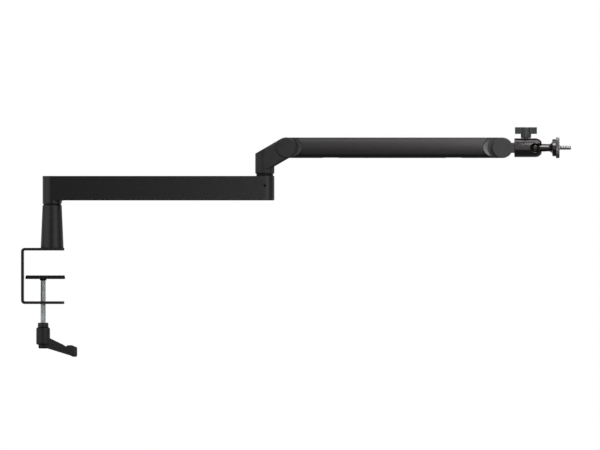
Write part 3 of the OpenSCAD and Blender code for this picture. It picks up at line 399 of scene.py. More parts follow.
class Workshop:
    """Makes pieces with bmesh and fastens them to the CAD frame.

    Attributes:
        smooth_below: Angle between two faces under which their edge is shaded smooth.
        corner: Least angle in degrees of an edge that is rounded, if nothing else is said.
        merge_within: Distance in metres at which points of a CAD mesh are one.
        flat_within: Angle at which faces of a CAD mesh are one.
        thread_steps: Faces round a turn of thread.
        thread_depth: Depth of a thread, as a share of its pitch.
        crest: Where a thread's crest starts and ends, as shares of its pitch.
    """

    smooth_below: float = math.radians(38)
    corner: float = 32.0
    merge_within: float = 2e-6
    flat_within: float = math.radians(0.4)
    thread_steps: int = 20
    thread_depth: float = 0.42
    crest: tuple[float, float] = (0.43, 0.57)

    def __init__(self, frame: dict) -> None:
        """Keeps the frame's nodes."""
        self.nodes: dict[str, Object] = frame["nodes"]

    def turned(self, profile: Profile, axis: Axis, origin: Point, steps: int = 64) -> Shape:
        """Spins a profile of radius and height into a closed solid.

        Args:
            profile: Radius and height pairs in millimetres, from one pole or edge to the other.
            axis: Axis that the shape's own Z is laid on.
            origin: Where the shape's own origin goes, in millimetres.
            steps: Faces round the axis.

        Returns:
            The mesh in metres.
        """
        bm = bmesh.new()
        outline = self._outline(bm, profile)
        bmesh.ops.spin(bm, geom=outline, angle=2 * math.pi, steps=steps, use_merge=True, **ABOUT_Z)
        bmesh.ops.remove_doubles(bm, verts=bm.verts, dist=1e-4)
        self.place(bm, axis, origin)
        return bm

    def threaded(
        self, radius: float, pitch: float, low: float, high: float, axis: Axis, origin: Point
    ) -> Shape:
        """Spins a real helical thread and cuts both its ends square.

        Args:
            radius: Outer radius in millimetres.
            pitch: Pitch in millimetres.
            low: Where the thread starts along its axis, in millimetres.
            high: Where it ends.
            axis: Axis of the thread.
            origin: Where low and high are measured from, in millimetres.

        Returns:
            The closed mesh in metres.
        """
        turns = math.ceil((high - low) / pitch) + 3
        root = radius - self.thread_depth * pitch
        crest_start, crest_end = self.crest
        tooth = [(root, 0.0), (radius, crest_start), (radius, crest_end), (root, 1.0)]
        bm = bmesh.new()
        outline = self._outline(bm, [(r, low + (h - 1.5) * pitch) for r, h in tooth])
        steps, rise = self.thread_steps * turns, (0, 0, pitch / self.thread_steps)
        bmesh.ops.spin(bm, geom=outline, dvec=rise, angle=2 * math.pi * turns, steps=steps, **ABOUT_Z)
        bmesh.ops.remove_doubles(bm, verts=bm.verts, dist=1e-3)
        for height, way in ((low, -1.0), (high, 1.0)):
            everything = [*bm.verts, *bm.edges, *bm.faces]
            bmesh.ops.bisect_plane(
                bm, geom=everything, plane_co=(0, 0, height), plane_no=(0, 0, way), clear_outer=True
            )
            rim = [e for e in bm.edges if e.is_boundary and all(abs(v.co.z - height) < 1e-3 for v in e.verts)]
            bmesh.ops.holes_fill(bm, edges=rim, sides=0)
        self.place(bm, axis, origin)
        return bm

    @staticmethod
    def _outline(bm: Shape, profile: Profile) -> list[bmesh.types.BMVert | bmesh.types.BMEdge]:
        """Draws a profile of radius and height as a chain of edges, and hands back its vertices and edges."""
        verts = [bm.verts.new((r, 0.0, z)) for r, z in profile]
        return [*verts, *[bm.edges.new(pair) for pair in zip(verts, verts[1:])]]

    @staticmethod
    def place(bm: Shape, axis: Axis, origin: Point) -> None:
        """Lays a millimetre shape on its axis, moves it to its origin in metres, and points its faces outwards."""
        bmesh.ops.transform(
            bm, matrix=Matrix.Scale(MM, 4) @ Matrix.Translation(origin) @ axis.value, verts=bm.verts
        )
        bmesh.ops.recalc_face_normals(bm, faces=bm.faces)

    @staticmethod
    def joined(shapes: Iterable[Shape]) -> Shape:
        """Puts several closed shapes into one mesh.

        Args:
            shapes: The shapes, which are freed.

        Returns:
            The mesh that holds them all.
        """
        whole = bmesh.new()
        for shape in shapes:
            passing = bpy.data.meshes.new("passing")
            shape.to_mesh(passing)
            shape.free()
            whole.from_mesh(passing)
            bpy.data.meshes.remove(passing)
        return whole

    def softened(self, node: str, width: float, sharp: float = corner, segments: int = 2) -> Shape:
        """Copies a CAD node and rounds its outer edges, as the finished part's are.

        Args:
            node: Name of the node.
            width: Width of the rounding in millimetres.
            sharp: Least angle between two faces whose edge is rounded, in degrees.
            segments: Faces across the rounding.

        Returns:
            The mesh in metres.
        """
        bm = self.copied(node)
        self.bevel(bm, self.outer_edges(bm, sharp), width, segments)
        return bm

    def copied(self, node: str) -> Shape:
        """A CAD node's mesh with its split points joined and its flat faces made whole.

        Args:
            node: Name of the node.

        Returns:
            The copy in metres.
        """
        bm = bmesh.new()
        bm.from_mesh(self.nodes[node].data)
        bmesh.ops.remove_doubles(bm, verts=bm.verts, dist=self.merge_within)
        bmesh.ops.dissolve_limit(bm, angle_limit=self.flat_within, verts=bm.verts, edges=bm.edges)
        return bm

    @staticmethod
    def bevel(
        bm: Shape, edges: Sequence[bmesh.types.BMEdge], width: float, segments: int, unit: float = MM
    ) -> None:
        """Rounds edges.

        Args:
            bm: The mesh.
            edges: Its edges that are rounded.
            width: Width of the rounding in millimetres.
            segments: Faces across the rounding.
            unit: What a millimetre is in the mesh.
        """
        size = {"offset": width * unit, "offset_type": "OFFSET", "segments": segments, "profile": 0.5}
        bmesh.ops.bevel(bm, geom=edges, affect="EDGES", material=-1, clamp_overlap=False, **size)

    @staticmethod
    def outer_edges(bm: Shape, sharp: float = corner) -> list[bmesh.types.BMEdge]:
        """The convex edges at which two faces turn by more than that many degrees."""
        limit = math.radians(sharp)
        return [e for e in bm.edges if len(e.link_faces) == 2 and e.is_convex and e.calc_face_angle(0.0) > limit]

    def piece(
        self, name: str, bm: Shape, body: str, material: Material, stands_for: Sequence[str], slot: str
    ) -> Object:
        """Writes a mesh as a finished piece that rides on a body.

        Args:
            name: Name of the piece.
            bm: Its mesh, in metres, which is freed.
            body: Body that it rides on.
            material: Its material.
            stands_for: CAD nodes that it replaces.
            slot: Name of one of the record's material slots; not used.

        Returns:
            The object.
        """
        for face in bm.faces:
            face.smooth = True
        for edge in bm.edges:
            edge.smooth = len(edge.link_faces) == 2 and edge.calc_face_angle(math.pi) < self.smooth_below
        mesh = bpy.data.meshes.new(name)
        bm.to_mesh(mesh)
        bm.free()
        mesh.materials.append(material)
        made = bpy.data.objects.new(name, mesh)
        bpy.context.scene.collection.objects.link(made)
        made.modifiers.new("flat_faces_stay_flat", "WEIGHTED_NORMAL").keep_sharp = True
        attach(made, body)
        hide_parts(*stands_for)
        LOG.info("piece %s on %s, %d faces", name, body, len(mesh.polygons))
        return made

    def rounded(
        self, name: str, node: str, width: float, body: str, finish: Finish, slot: str, **how: float
    ) -> Object:
        """Makes a piece that is its CAD node with rounded outer edges; how goes on to softened."""
        return self.piece(name, self.softened(node, width, **how), body, finish.material(), [node], slot)

    def dress(self, material: Material, *names: str) -> None:
        """Gives CAD nodes that stay in view their material.

        Args:
            material: The material.
            names: Names of the nodes.
        """
        for name in names:
            node = self.nodes[name]
            node.data.materials.clear()
            node.data.materials.append(material)
            LOG.info("node %s dressed in %s", name, material.name)


# Desk clamp


@dataclass
class DeskClamp:
    """Bent strip, tapered post, pressure plate and what fastens them."""

    shop: Workshop
    strip_edge: float = 0.5
    post_edge: float = 0.4
    plate_edge: float = 0.5
    pad_edge: float = 0.4

    def build(self) -> None:
        """Makes and dresses the clamp's pieces."""
        shop, body, plate = self.shop, "clamp_body", "plate_body"
        shop.rounded("clamp_strip", "clamp_frame", self.strip_edge, body, STRIP_COAT, "strip_black")
        shop.rounded("post", "riser", self.post_edge, body, POST_ANODISED, "post_black")
        shop.rounded(
            "plate_moulding", "pressure_plate", self.plate_edge, plate, PLATE_NYLON, "plate_black", segments=3
        )
        shop.rounded("plate_rubber", "pressure_pad", self.pad_edge, plate, PAD_RUBBER, "rubber_black")
        shop.dress(BLACK_OXIDE.material(), "riser_screws")
        shop.dress(GROUND_STEEL.material(), "base_spindle")
        shop.dress(BLACK_ACETAL.material(), "base_thrust_washer")


@dataclass
class ClampScrew:
    """Threaded screw with its toothed insert, and the lever that turns it."""

    shop: Workshop
    screw_x: float = -13.5
    thread_radius: float = 4.0
    pitch: float = 1.25
    thread_top: float = -45.3
    thread_end: float = -111.0
    run_out_radius: float = 3.4
    tip_radius: float = 2.5
    tip_top: float = -39.45
    tip_chamfer: float = 0.4
    collar_edge: float = 0.35
    lever_edge: float = 1.3
    lever_corner: float = 24.0
    cap_edge: float = 0.5
    spring_foot: float = -135.55
    spring_length: float = 11.48
    lever_travel: float = 5.0

    def build(self) -> None:
        """Makes and dresses the screw and the lever."""
        shop, screw, lever = self.shop, "screw_body", "lever_body"
        at = (self.screw_x, 0.0, 0.0)
        shop.piece(
            "clamp_screw_thread", self._screw(at), screw, ZINC_PLATE.material(at), ["clamp_screw"], "screw_zinc"
        )
        shop.rounded("lever_collar", "lever_insert", self.collar_edge, screw, BLACK_OXIDE, "black_steel")
        shop.dress(GROUND_STEEL.material(at), "screw_retainer")
        self._spring(at)
        shop.dress(BLACK_OXIDE.material(), "lever_screw")
        rounding = {"sharp": self.lever_corner, "segments": 3}
        shop.rounded(
            "lever_handle", "clamp_lever", self.lever_edge, lever, MOULDED_NYLON, "lever_black", **rounding
        )
        shop.rounded("lever_end_cap", "lever_cap", self.cap_edge, lever, COVER_PLASTIC, "cover_black")

    def _screw(self, at: Point) -> Shape:
        """The screw's thread and its plain chamfered tip.

        Args:
            at: Point on its axis.

        Returns:
            The mesh in metres.
        """
        shop, top, join = self.shop, self.tip_top, self.thread_top
        thread = shop.threaded(self.thread_radius, self.pitch, self.thread_end, join, Axis.Z, at)
        tip_outline = [
            (0, top),
            (self.tip_radius - self.tip_chamfer, top),
            (self.tip_radius, top - self.tip_chamfer),
            (self.tip_radius, join),
            (self.run_out_radius, join),
            (0, join),
        ]
        return shop.joined([thread, shop.turned(tip_outline, Axis.Z, at, steps=32)])

    def _spring(self, at: Point) -> None:
        """Coil spring on the screw's head, copied from its CAD node as a fixed piece with a mesh of its own; on the
        real clamp it shortens as the lever is pulled off the teeth.

        Args:
            at: Point on its axis.
        """
        shop = self.shop
        steel = GROUND_STEEL.material(at)
        spring = shop.piece(
            "lever_coil", shop.copied("lever_spring"), "screw_body", steel, ["lever_spring"], "bright_steel"
        )
        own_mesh(spring)


# Arms


@dataclass
class LowerArm:
    """Flat-sided extruded arm with its cable cover and the two upright bearings."""

    shop: Workshop
    arm_edge: float = 0.12
    arm_corner: float = 60.0
    cover_edge: float = 0.3
    cap_edge: float = 0.3
    elbow_x: float = 319.0
    half_width: float = 14.4
    top: float = 111.8
    drawn_bevel: float = 0.8
    real_bevel: float = 0.25
    level_slack: float = 0.01
    bevel_slack: float = 0.05

    def build(self) -> None:
        """Makes and dresses the lower arm."""
        shop, body = self.shop, "lower_arm_body"
        shop.piece("flat_arm", self._crisp_arm(), body, ARM_ANODISED.material(), ["lower_arm_beam"], "arm_black")
        shop.rounded("flat_arm_cover", "lower_cable_cover", self.cover_edge, body, COVER_PLASTIC, "cover_black")
        shop.rounded("post_cap", "base_cap", self.cap_edge, body, COVER_PLASTIC, "cover_black")
        shop.dress(BLACK_ACETAL.material((self.elbow_x, 0.0, 0.0)), "elbow_bush_upper")
        shop.dress(NATURAL_ACETAL.material(), "base_bush", "elbow_bush_lower", "elbow_brake_plug")
        shop.dress(GROUND_STEEL.material(), "base_spring_washer")
        shop.dress(COVER_PLASTIC.material(), "elbow_bore_cap")
        shop.dress(SUNK_SCREW.material(), "elbow_grub_screw")

    def _crisp_arm(self) -> Shape:
        """The arm with the narrow bevel of a sawn and tumbled extrusion along its upper edge.

        Returns:
            The mesh in metres.
        """
        bm = self.shop.softened("lower_arm_beam", self.arm_edge, sharp=self.arm_corner)
        moved = (self.drawn_bevel - self.real_bevel) * MM
        for vert in bm.verts:
            spine = Vector((min(max(vert.co.x, 0.0), self.elbow_x * MM), 0.0, vert.co.z))
            outward = vert.co - spine
            inside = self.half_width - outward.length / MM
            below = self.top - vert.co.z / MM
            if abs(below) < self.level_slack and abs(inside - self.drawn_bevel) < self.bevel_slack:
                vert.co += outward.normalized() * moved
            elif abs(inside) < self.bevel_slack and abs(below - self.drawn_bevel) < self.bevel_slack:
                vert.co.z += moved
        return bm


@dataclass
class Elbow:
    """Slanted casting on its spigot, with the first tilt hinge."""

    shop: Workshop
    edge: float = 0.7
    elbow_x: float = 319.0
    half_width: float = 14.4
    foot_top: float = 120.0
    run_out_reach: float = 1.5
    cheek_slack: float = 0.1

    def build(self) -> None:
        """Makes and dresses the elbow."""
        shop, body = self.shop, "elbow_body"
        shop.piece("elbow_casting", self._casting(), body, CAST_PAINT.material(), ["elbow_housing"], "cast_black")
        shop.dress(GROUND_STEEL.material((self.elbow_x, 0.0, 0.0)), "elbow_spigot")
        shop.dress(BLACK_OXIDE.material(), "elbow_hinge_bolt")
        shop.dress(NATURAL_ACETAL.material(), "elbow_friction_washers")

    def _casting(self) -> Shape:
        """The casting with rounded edges, apart from those that run out where its cheeks meet the round foot.

        Returns:
            The mesh in metres.
        """
        bm = self.shop.copied("elbow_housing")
        edges = [e for e in self.shop.outer_edges(bm) if not any(self._at_run_out(v.co / MM) for v in e.verts)]
        self.shop.bevel(bm, edges, self.edge, 3)
        return bm

    def _at_run_out(self, point: Vector) -> bool:
        """True for a point on the line where a flat cheek touches the round foot."""
        on_cheek = abs(abs(point.y) - self.half_width) < self.cheek_slack
        return on_cheek and abs(point.x - self.elbow_x) < self.run_out_reach and point.z > self.foot_top


@dataclass
class UpperArm:
    """Round extruded arm with its cable cover and two dished end fittings."""

    shop: Workshop
    fitting_edge: float = 0.35
    hinge_z: float = 154.1
    elbow_hinge_x: float = 350.85
    head_hinge_x: float = 675.2
    dish_reach: tuple[float, float] = (14.0, 30.0)
    cone_facing: tuple[float, float] = (0.4, 0.97)
    cone_slant: float = 0.2
    flat_side: float = 0.985

    def build(self) -> None:
        """Makes and dresses the upper arm."""
        shop, body = self.shop, "upper_arm_body"
        extrusions = (
            ("round_arm", "upper_arm_tube", TUBE_ANODISED, "tube_black"),
            ("round_arm_cover", "upper_cable_cover", ROUND_COVER, "cover_black"),
        )
        for name, node, finish, slot in extrusions:
            shop.piece(name, shop.copied(node), body, finish.material(), [node], slot)
        ends = (
            ("dished_end_elbow", "elbow_end_fitting", "elbow_hinge_bush", self.elbow_hinge_x),
            ("dished_end_head", "head_end_fitting", "head_hinge_bush", self.head_hinge_x),
        )
        paint = DISH_PAINT.material()
        for name, node, bush, hinge_x in ends:
            end = shop.piece(name, self._dished_end(node, hinge_x), body, paint, [node], "cast_black")
            # The second finish is painted highlight: lighter paint on the dish cones instead of the light on them.
            for finish in (DISH_PAINTED_HIGHLIGHT, CAST_PAINT):
                end.data.materials.append(finish.material())
            shop.dress(BRONZE.material((hinge_x, 0.0, self.hinge_z), Axis.Y), bush)
        shop.dress(BLACK_OXIDE.material(), "fitting_screws")

    def _dished_end(self, node: str, hinge_x: float) -> Shape:
        """An end fitting with the cone in its second finish, a lighter paint that stands in for the light falling
        on the cone (painted highlight), and the tongue's flat sides in its third.

        Args:
            node: Name of the fitting's CAD node.
            hinge_x: Where its hinge is, in millimetres.

        Returns:
            The mesh in metres.
        """
        bm = self.shop.softened(node, self.fitting_edge)
        hinge = Vector((hinge_x, 0.0, self.hinge_z)) * MM
        nearest, farthest = self.dish_reach
        least, most = self.cone_facing
        for face in bm.faces:
            centre = face.calc_center_median()
            inward = Vector((hinge.x - centre.x, 0.0, hinge.z - centre.z))
            in_dish = nearest < inward.length / MM < farthest
            tilt = abs(face.normal.y)
            # Cone faces take the lighter paint that stands in for the light on them (painted highlight).
            if in_dish and least < inward.normalized().dot(face.normal) < most and tilt > self.cone_slant:
                face.material_index = 1
            elif tilt > self.flat_side:
                face.material_index = 2
        return bm


# Head


@dataclass
class Head:
    """Fork, ball head and lock knob."""

    shop: Workshop
    hinge_z: float = 154.1
    fork_edge: float = 0.5
    housing_edge: float = 0.4
    knob_edge: float = 0.6
    knob_x: float = 710.7
    knob_z: float = 168.55
    stem_radius: float = 7.5
    stem_height: float = 6.3
    wing_height: float = 10.1
    wing_thickness: float = 7.5
    rib_places: tuple[float, ...] = (9.2, 11.4, 13.6)
    rib_radius: float = 0.8
    rib_sunk: float = 0.4
    rib_ends: tuple[tuple[float, float], ...] = ((0.0, 0.3), (0.7, 0.45), (1.0, 1.0))
    stem_ribs: int = 16
    stem_rib_lift: float = 0.4
    stem_rib_past: float = 0.6
    ball_x: float = 723.7
    notch_radius: float = 6.5
    notch_bevel: float = 0.9
    notch_front: float = -6.0
    notch_slack: float = 0.1
    shell_radius: float = 14.25
    shell_slack: float = 0.35
    flat_end_x: float = 695.0
    nose_x: float = 727.0

    def build(self) -> None:
        """Makes and dresses the head."""
        shop = self.shop
        shop.rounded("fork_casting", "head_fork", self.fork_edge, "fork_body", CAST_PAINT, "cast_black", segments=3)
        shop.dress(BLACK_OXIDE.material(), "head_hinge_bolt", "housing_plug")
        shop.dress(NATURAL_ACETAL.material(), "head_friction_washers", "ball_cup")
        gloss = GLOSS_BLACK.material()
        shop.piece("ball_shell", self._ball_shell(), "housing_body", gloss, ["ball_housing"], "gloss_black")
        at = (self.knob_x, 0.0, 0.0)
        shop.dress(BRONZE.material(at), "lock_pin")
        shop.dress(GROUND_STEEL.material(at), "lock_screw")
        plastic = KNOB_PLASTIC.material()
        shop.piece("lock_wings", self._ribbed_knob(), "knob_body", plastic, ["lock_knob"], "knob_black")

    def _ball_shell(self) -> Shape:
        """The gloss shell with a bevel round the notch as far as the nose, and a small one on its flat end.

        Returns:
            The mesh in metres.
        """
        shop = self.shop
        bm = shop.copied("ball_housing")
        end = [e for e in shop.outer_edges(bm) if all(v.co.x / MM < self.flat_end_x for v in e.verts)]
        shop.bevel(bm, end, self.housing_edge, 3)
        rim = [e for e in shop.outer_edges(bm) if all(self._on_notch(v.co / MM) for v in e.verts)]
        shop.bevel(bm, rim, self.notch_bevel, 4)
        return bm

    def _on_notch(self, point: Vector) -> bool:
        """Tells whether a point is on the outer rim of the notch, short of the rounded nose.

        Args:
            point: The point in millimetres.

        Returns:
            True if it is.
        """
        across = Vector((min(point.x - self.ball_x, 0.0), point.z - self.hinge_z)).length
        on_edge = abs(across - self.notch_radius) < self.notch_slack
        outside = math.hypot(point.y, point.z - self.hinge_z) > self.shell_radius - self.shell_slack
        return point.y < self.notch_front and point.x < self.nose_x and on_edge and outside

    def _ribbed_knob(self) -> Shape:
        """The T knob with upright grip ribs on its wings and stem.

        Returns:
            The mesh in metres.
        """
        shop = self.shop
        ribs = []
        reach = self.wing_thickness / 2 - self.rib_sunk
        for side in (-1.0, 1.0):
            for x in self.rib_places:
                for face in (-1.0, 1.0):
                    at = (self.knob_x + side * x, face * reach, self.knob_z + self.stem_height)
                    ribs.append(shop.turned(self._rib(self.wing_height), Axis.Z, at, steps=12))
        reach = self.stem_radius - self.rib_sunk
        for turn in range(self.stem_ribs):
            angle = math.radians((turn + 0.5) * 360 / self.stem_ribs)
            across = (reach * math.cos(angle), reach * math.sin(angle))
            at = (self.knob_x + across[0], across[1], self.knob_z + self.stem_rib_lift)
            rib = self._rib(self.stem_height + self.stem_rib_past)
            ribs.append(shop.turned(rib, Axis.Z, at, steps=12))
        return shop.joined([shop.softened("lock_knob", self.knob_edge, segments=3), *ribs])

    def _rib(self, height: float) -> Profile:
        """Round bar with domed ends, as radius and height pairs."""
        foot = [(share * self.rib_radius, rise) for share, rise in self.rib_ends]
        return [*foot, *[(radius, height - rise) for radius, rise in reversed(foot)]]


@dataclass
class MountStud:
    """Ball with its flared stem, threaded stud and thumb disc."""

    shop: Workshop
    axis_z: float = 154.1
    ball_x: float = 723.7
    ball_radius: float = 9.5
    neck_radius: float = 5.5
    flare_start: float = 21.0
    flare_height: float = 5.5
    hub_radius: float = 12.9
    hub_end: float = 32.0
    hub_chamfers: tuple[float, float] = (0.5, 0.6)
    stud_radius: float = 3.175
    stud_pitch: float = 1.27
    stud_start: float = 20.2
    stud_end: float = 54.45
    socket_gap: float = 0.02
    socket_floor: float = 20.0
    thread_short: float = 0.8
    tip_length: float = 1.0
    tip_root_cut: float = 0.1
    tip_end_cut: float = 0.7
    disc_x: float = 755.75
    disc_radius: float = 15.6
    disc_thickness: float = 4.0
    disc_bore: float = 3.225
    disc_bevel: float = 0.5
    disc_rim: float = 1.0
    level_slack: float = 1e-6
    knurls: int = 72
    knurl_depth: float = 0.45
    ball_arc: range = range(0, 141, 5)
    flare_arc: range = range(0, 91, 15)

    def build(self) -> None:
        """Makes and dresses the ball, the stud and the disc."""
        shop = self.shop
        at = (self.ball_x, 0.0, self.axis_z)
        shop.piece(
            "ball_and_stem", self._stem(at), "stem_body", BALL_BLACK.material(), ["ball_stem"], "gloss_black"
        )
        shop.piece("stud_thread", self._stud(at), "stem_body", STUD_STEEL.material(), ["mount_stud"], "stud_steel")
        ringed = DISC_ANODISED.material((self.disc_x, 0.0, self.axis_z), Axis.X)
        shop.piece("knurled_disc", self._disc(), "disc_body", ringed, ["lock_disc"], "disc_black")
        shop.dress(CORK_RUBBER.material(), "disc_pad")

    def _stud(self, at: Point) -> Shape:
        """The stud's thread and its chamfered tip.

        Args:
            at: The ball's centre.

        Returns:
            The mesh in metres.
        """
        shop, end = self.shop, self.stud_end
        last_turn = end - self.thread_short
        thread = shop.threaded(self.stud_radius, self.stud_pitch, self.stud_start, last_turn, Axis.X, at)
        tip_outline = [
            (0, end - self.tip_length),
            (self.stud_radius - self.tip_root_cut, end - self.tip_length),
            (self.stud_radius - self.tip_end_cut, end),
            (0, end),
        ]
        return shop.joined([thread, shop.turned(tip_outline, Axis.X, at, steps=32)])

    def _stem(self, at: Point) -> Shape:
        """Ball, neck and flared hub as one turned shape.

        Args:
            at: The ball's centre.

        Returns:
            The mesh in metres.
        """
        ball, flare = [], []
        for angle in map(math.radians, self.ball_arc):
            ball.append((self.ball_radius * math.sin(angle), -self.ball_radius * math.cos(angle)))
        for angle in map(math.radians, self.flare_arc):
            across, along = self.flare_height * (1 - math.cos(angle)), self.flare_height * math.sin(angle)
            flare.append((self.neck_radius + across, self.flare_start + along))
        hub_start = self.flare_start + self.flare_height
        first, last = self.hub_chamfers
        socket_radius = self.stud_radius + self.socket_gap
        hub = [
            (self.hub_radius - first, hub_start),
            (self.hub_radius, hub_start + first),
            (self.hub_radius, self.hub_end - last),
            (self.hub_radius - last, self.hub_end),
            (socket_radius, self.hub_end),
            (socket_radius, self.socket_floor),
            (0, self.socket_floor),
        ]
        return self.shop.turned([*ball, *flare, *hub], Axis.X, at)

    def _disc(self) -> Shape:
        """Thumb disc with a straight knurl round its rim.

        Returns:
            The mesh in metres.
        """
        bm = bmesh.new()
        bmesh.ops.create_circle(bm, cap_ends=False, segments=2 * self.knurls, radius=self.disc_radius)
        ordered = sorted(bm.verts, key=lambda v: math.atan2(v.co.y, v.co.x))
        bmesh.ops.scale(bm, vec=[1 - self.knurl_depth / self.disc_radius] * 3, verts=ordered[::2])
        bmesh.ops.create_circle(bm, cap_ends=False, segments=2 * self.knurls, radius=self.disc_bore)
        ring = bmesh.ops.bridge_loops(bm, edges=list(bm.edges))
        grown = bmesh.ops.extrude_face_region(bm, geom=ring["faces"])
        top = [v for v in grown["geom"] if isinstance(v, bmesh.types.BMVert)]
        bmesh.ops.translate(bm, vec=(0, 0, self.disc_thickness), verts=top)
        level = [e for e in bm.edges if abs(e.verts[0].co.z - e.verts[1].co.z) < self.level_slack]
        rim = [e for e in level if all(v.co.xy.length > self.disc_radius - self.disc_rim for v in e.verts)]
        self.shop.bevel(bm, rim, self.disc_bevel, 2, unit=1.0)
        self.shop.place(bm, Axis.X, (self.disc_x, 0.0, self.axis_z))
        return bm


# Studio


@dataclass(frozen=True)
class Softbox:
    """Rectangular lamp that faces a point, with sizes in metres.

    Attributes:
        name: Name of the lamp.
        where: Place of its middle.
        target: Point that it faces.
        size: Its two sides.
        glow: Brightness of its face, where 1 is paper white.
        spread: Angle in degrees that its honeycomb grid lets light out at; 180 is no grid.
    """

    name: str
    where: Point
    target: Point
    size: tuple[float, float]
    glow: float
    spread: float = 180.0

    def build(self) -> None:
        """Hangs the lamp, out of the camera's sight."""
        data = bpy.data.lights.new(self.name, "AREA")
        data.shape = "RECTANGLE"
        data.size, data.size_y = self.size
        data.energy = self.glow * math.pi * self.size[0] * self.size[1]
        data.spread = math.radians(self.spread)
        lamp = bpy.data.objects.new(self.name, data)
        lamp.location = self.where
        lamp.rotation_mode = "QUATERNION"
        lamp.rotation_quaternion = (Vector(self.target) - Vector(self.where)).to_track_quat("-Z", "Y")
        lamp.visible_camera = False
        bpy.context.scene.collection.objects.link(lamp)


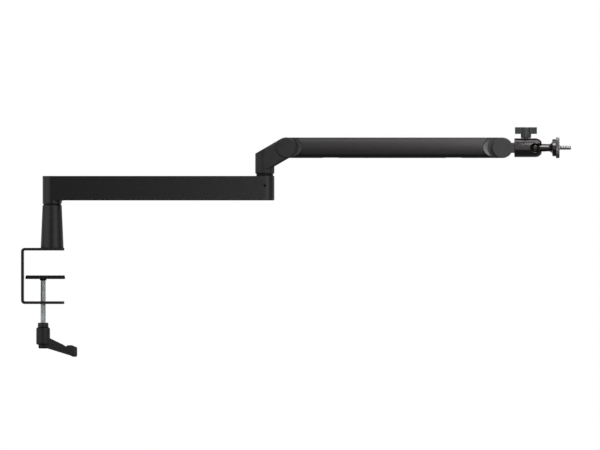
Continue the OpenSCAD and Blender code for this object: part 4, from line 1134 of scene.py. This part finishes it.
@dataclass
class Studio:
    """Camera, lamps, white surroundings and floor, in metres, apart from the millimetres that a pixel shows."""

    pixel: float = 1.5
    centre_px: tuple[float, float] = (300.0, 225.0)
    origin_px: tuple[float, float] = (52.15, 250.5)
    frame_width_px: float = 600.0
    distance: float = 25.0
    sensor_width: float = 36.0
    sight: float = 100.0
    room_glow: float = 0.2
    sky_behind: tuple[float, float] = (0.85, 1.0)
    floor_x: float = 0.37
    floor_z: float = -0.33
    floor_half: float = 40.0
    floor_tone: float = 0.16
    seen_floor_tone: float = 0.85
    fade_to_white: tuple[float, float] = (0.45, 1.3)
    fade_starts_at: float = 0.5
    floor_behind: tuple[float, float] = (0.25, 1.0)
    softboxes: tuple[Softbox, ...] = (
        Softbox("top_softbox", (0.95, 0.02, 1.15), (0.95, 0.02, 0.0), (2.1, 0.66), 2.7),
        Softbox("top_left_softbox", (-0.75, 0.2, 1.0), (0.2, 0.0, 0.1), (0.6, 0.6), 1.2),
        Softbox("key_softbox", (0.92, -0.42, 0.64), (0.95, 0.0, 0.15), (0.34, 0.34), 7.2, spread=105.0),
        Softbox("right_strip", (0.74, -0.96, 0.2), (0.1, 0.0, 0.05), (1.1, 1.0), 1.1),
        Softbox("left_strip", (-1.03, -0.62, 0.2), (0.0, 0.0, 0.05), (1.5, 1.0), 0.9),
    )

    def build(self) -> None:
        """Sets the whole stage."""
        self._camera()
        self._surroundings()
        self._floor()
        for softbox in self.softboxes:
            softbox.build()
        bpy.context.scene.view_settings.view_transform = "Standard"

    def _camera(self) -> None:
        """Long lens straight in front, framed so that a pixel is 1.5 mm at the arm's axis."""
        data = bpy.data.cameras.new("front_camera")
        camera = bpy.data.objects.new("front_camera", data)
        bpy.context.scene.collection.objects.link(camera)
        width = self.frame_width_px * self.pixel * MM
        data.sensor_width = self.sensor_width
        data.lens = data.sensor_width * self.distance / width
        data.clip_end = self.sight
        x = (self.centre_px[0] - self.origin_px[0]) * self.pixel * MM
        z = (self.origin_px[1] - self.centre_px[1]) * self.pixel * MM
        camera.location = (x, -self.distance, z)
        camera.rotation_euler = (math.pi / 2, 0.0, 0.0)
        bpy.context.scene.camera = camera

    def _surroundings(self) -> None:
        """White to the camera and, straight behind the arm, in reflections; a dim room all round."""
        world = bpy.data.worlds.new("white_studio")
        bpy.context.scene.world = world
        world.use_nodes = True
        sketch = NodeSketch(world.node_tree)
        white, room = (
            sketch.wired("ShaderNodeBackground", "Background", {}, {"Color": (1.0,) * 4, "Strength": strength})
            for strength in (1.0, self.room_glow)
        )
        path = sketch.add("ShaderNodeLightPath")
        direction = {"Vector": sketch.add("ShaderNodeTexCoord").outputs["Generated"]}
        depth = sketch.wired("ShaderNodeSeparateXYZ", "Y", direction)
        behind = sketch.span(depth, *self.sky_behind, 0.0, 1.0)
        mirrored = sketch.combined("MULTIPLY", path.outputs["Is Glossy Ray"], behind)
        seen = sketch.combined("MAXIMUM", path.outputs["Is Camera Ray"], path.outputs["Is Transmission Ray"])
        shader = sketch.mix_shaders(sketch.combined("MAXIMUM", seen, mirrored), room, white)
        sketch.join(shader, sketch.add("ShaderNodeOutputWorld").inputs["Surface"])

    def _floor(self) -> None:
        """Wide pale floor that keeps the arm's shadow near it and fades to the white around."""
        bm = bmesh.new()
        bmesh.ops.create_grid(bm, x_segments=1, y_segments=1, size=self.floor_half)
        bmesh.ops.translate(bm, vec=(self.floor_x, 0.0, self.floor_z), verts=bm.verts)
        mesh = bpy.data.meshes.new("floor")
        bm.to_mesh(mesh)
        bm.free()
        floor = bpy.data.objects.new("floor", mesh)
        bpy.context.scene.collection.objects.link(floor)
        mesh.materials.append(self._floor_paint())

    def _floor_paint(self) -> Material:
        """Pale matte paint that the camera sees brighter, and white far away and behind the arm in reflections.

        Returns:
            The floor's material.
        """
        paint = bpy.data.materials.new("white_floor")
        paint.use_nodes = True
        sketch = NodeSketch(paint.node_tree)
        path = sketch.add("ShaderNodeLightPath")
        where = {"Vector": sketch.add("ShaderNodeTexCoord").outputs["Object"]}
        middle = {"Location": (-self.floor_x, 0.0, -self.floor_z)}
        place = sketch.wired("ShaderNodeMapping", "Vector", where, middle)
        distance = sketch.wired("ShaderNodeVectorMath", "Value", {0: place}, operation="LENGTH")
        depth = sketch.wired("ShaderNodeSeparateXYZ", "Y", {"Vector": place})
        far_away = sketch.span(distance, *self.fade_to_white, self.fade_starts_at, 1.0)
        behind = sketch.span(depth, *self.floor_behind, 0.0, 1.0)
        for_camera = sketch.combined("MULTIPLY", path.outputs["Is Camera Ray"], far_away)
        for_gloss = sketch.combined("MULTIPLY", path.outputs["Is Glossy Ray"], behind)
        tones = [(0.0, (self.floor_tone,) * 3), (1.0, (self.seen_floor_tone,) * 3)]
        tone = sketch.ramp(path.outputs["Is Camera Ray"], tones)
        matte = sketch.wired("ShaderNodeBsdfDiffuse", "BSDF", {"Color": tone})
        glow = sketch.wired("ShaderNodeEmission", "Emission", {})
        shader = sketch.mix_shaders(sketch.combined("MAXIMUM", for_camera, for_gloss), matte, glow)
        sketch.join(shader, sketch.add("ShaderNodeOutputMaterial").inputs["Surface"])
        return paint


def main() -> None:
    """Loads the frame, builds every sub-assembly and sets the studio."""
    logging.basicConfig(level=logging.INFO, format="%(name)s: %(message)s")
    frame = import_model()
    shop = Workshop(frame)
    for assembly in (DeskClamp, ClampScrew, LowerArm, Elbow, UpperArm, Head, MountStud):
        assembly(shop).build()
    Studio().build()


if __name__ == "__main__":
    main()
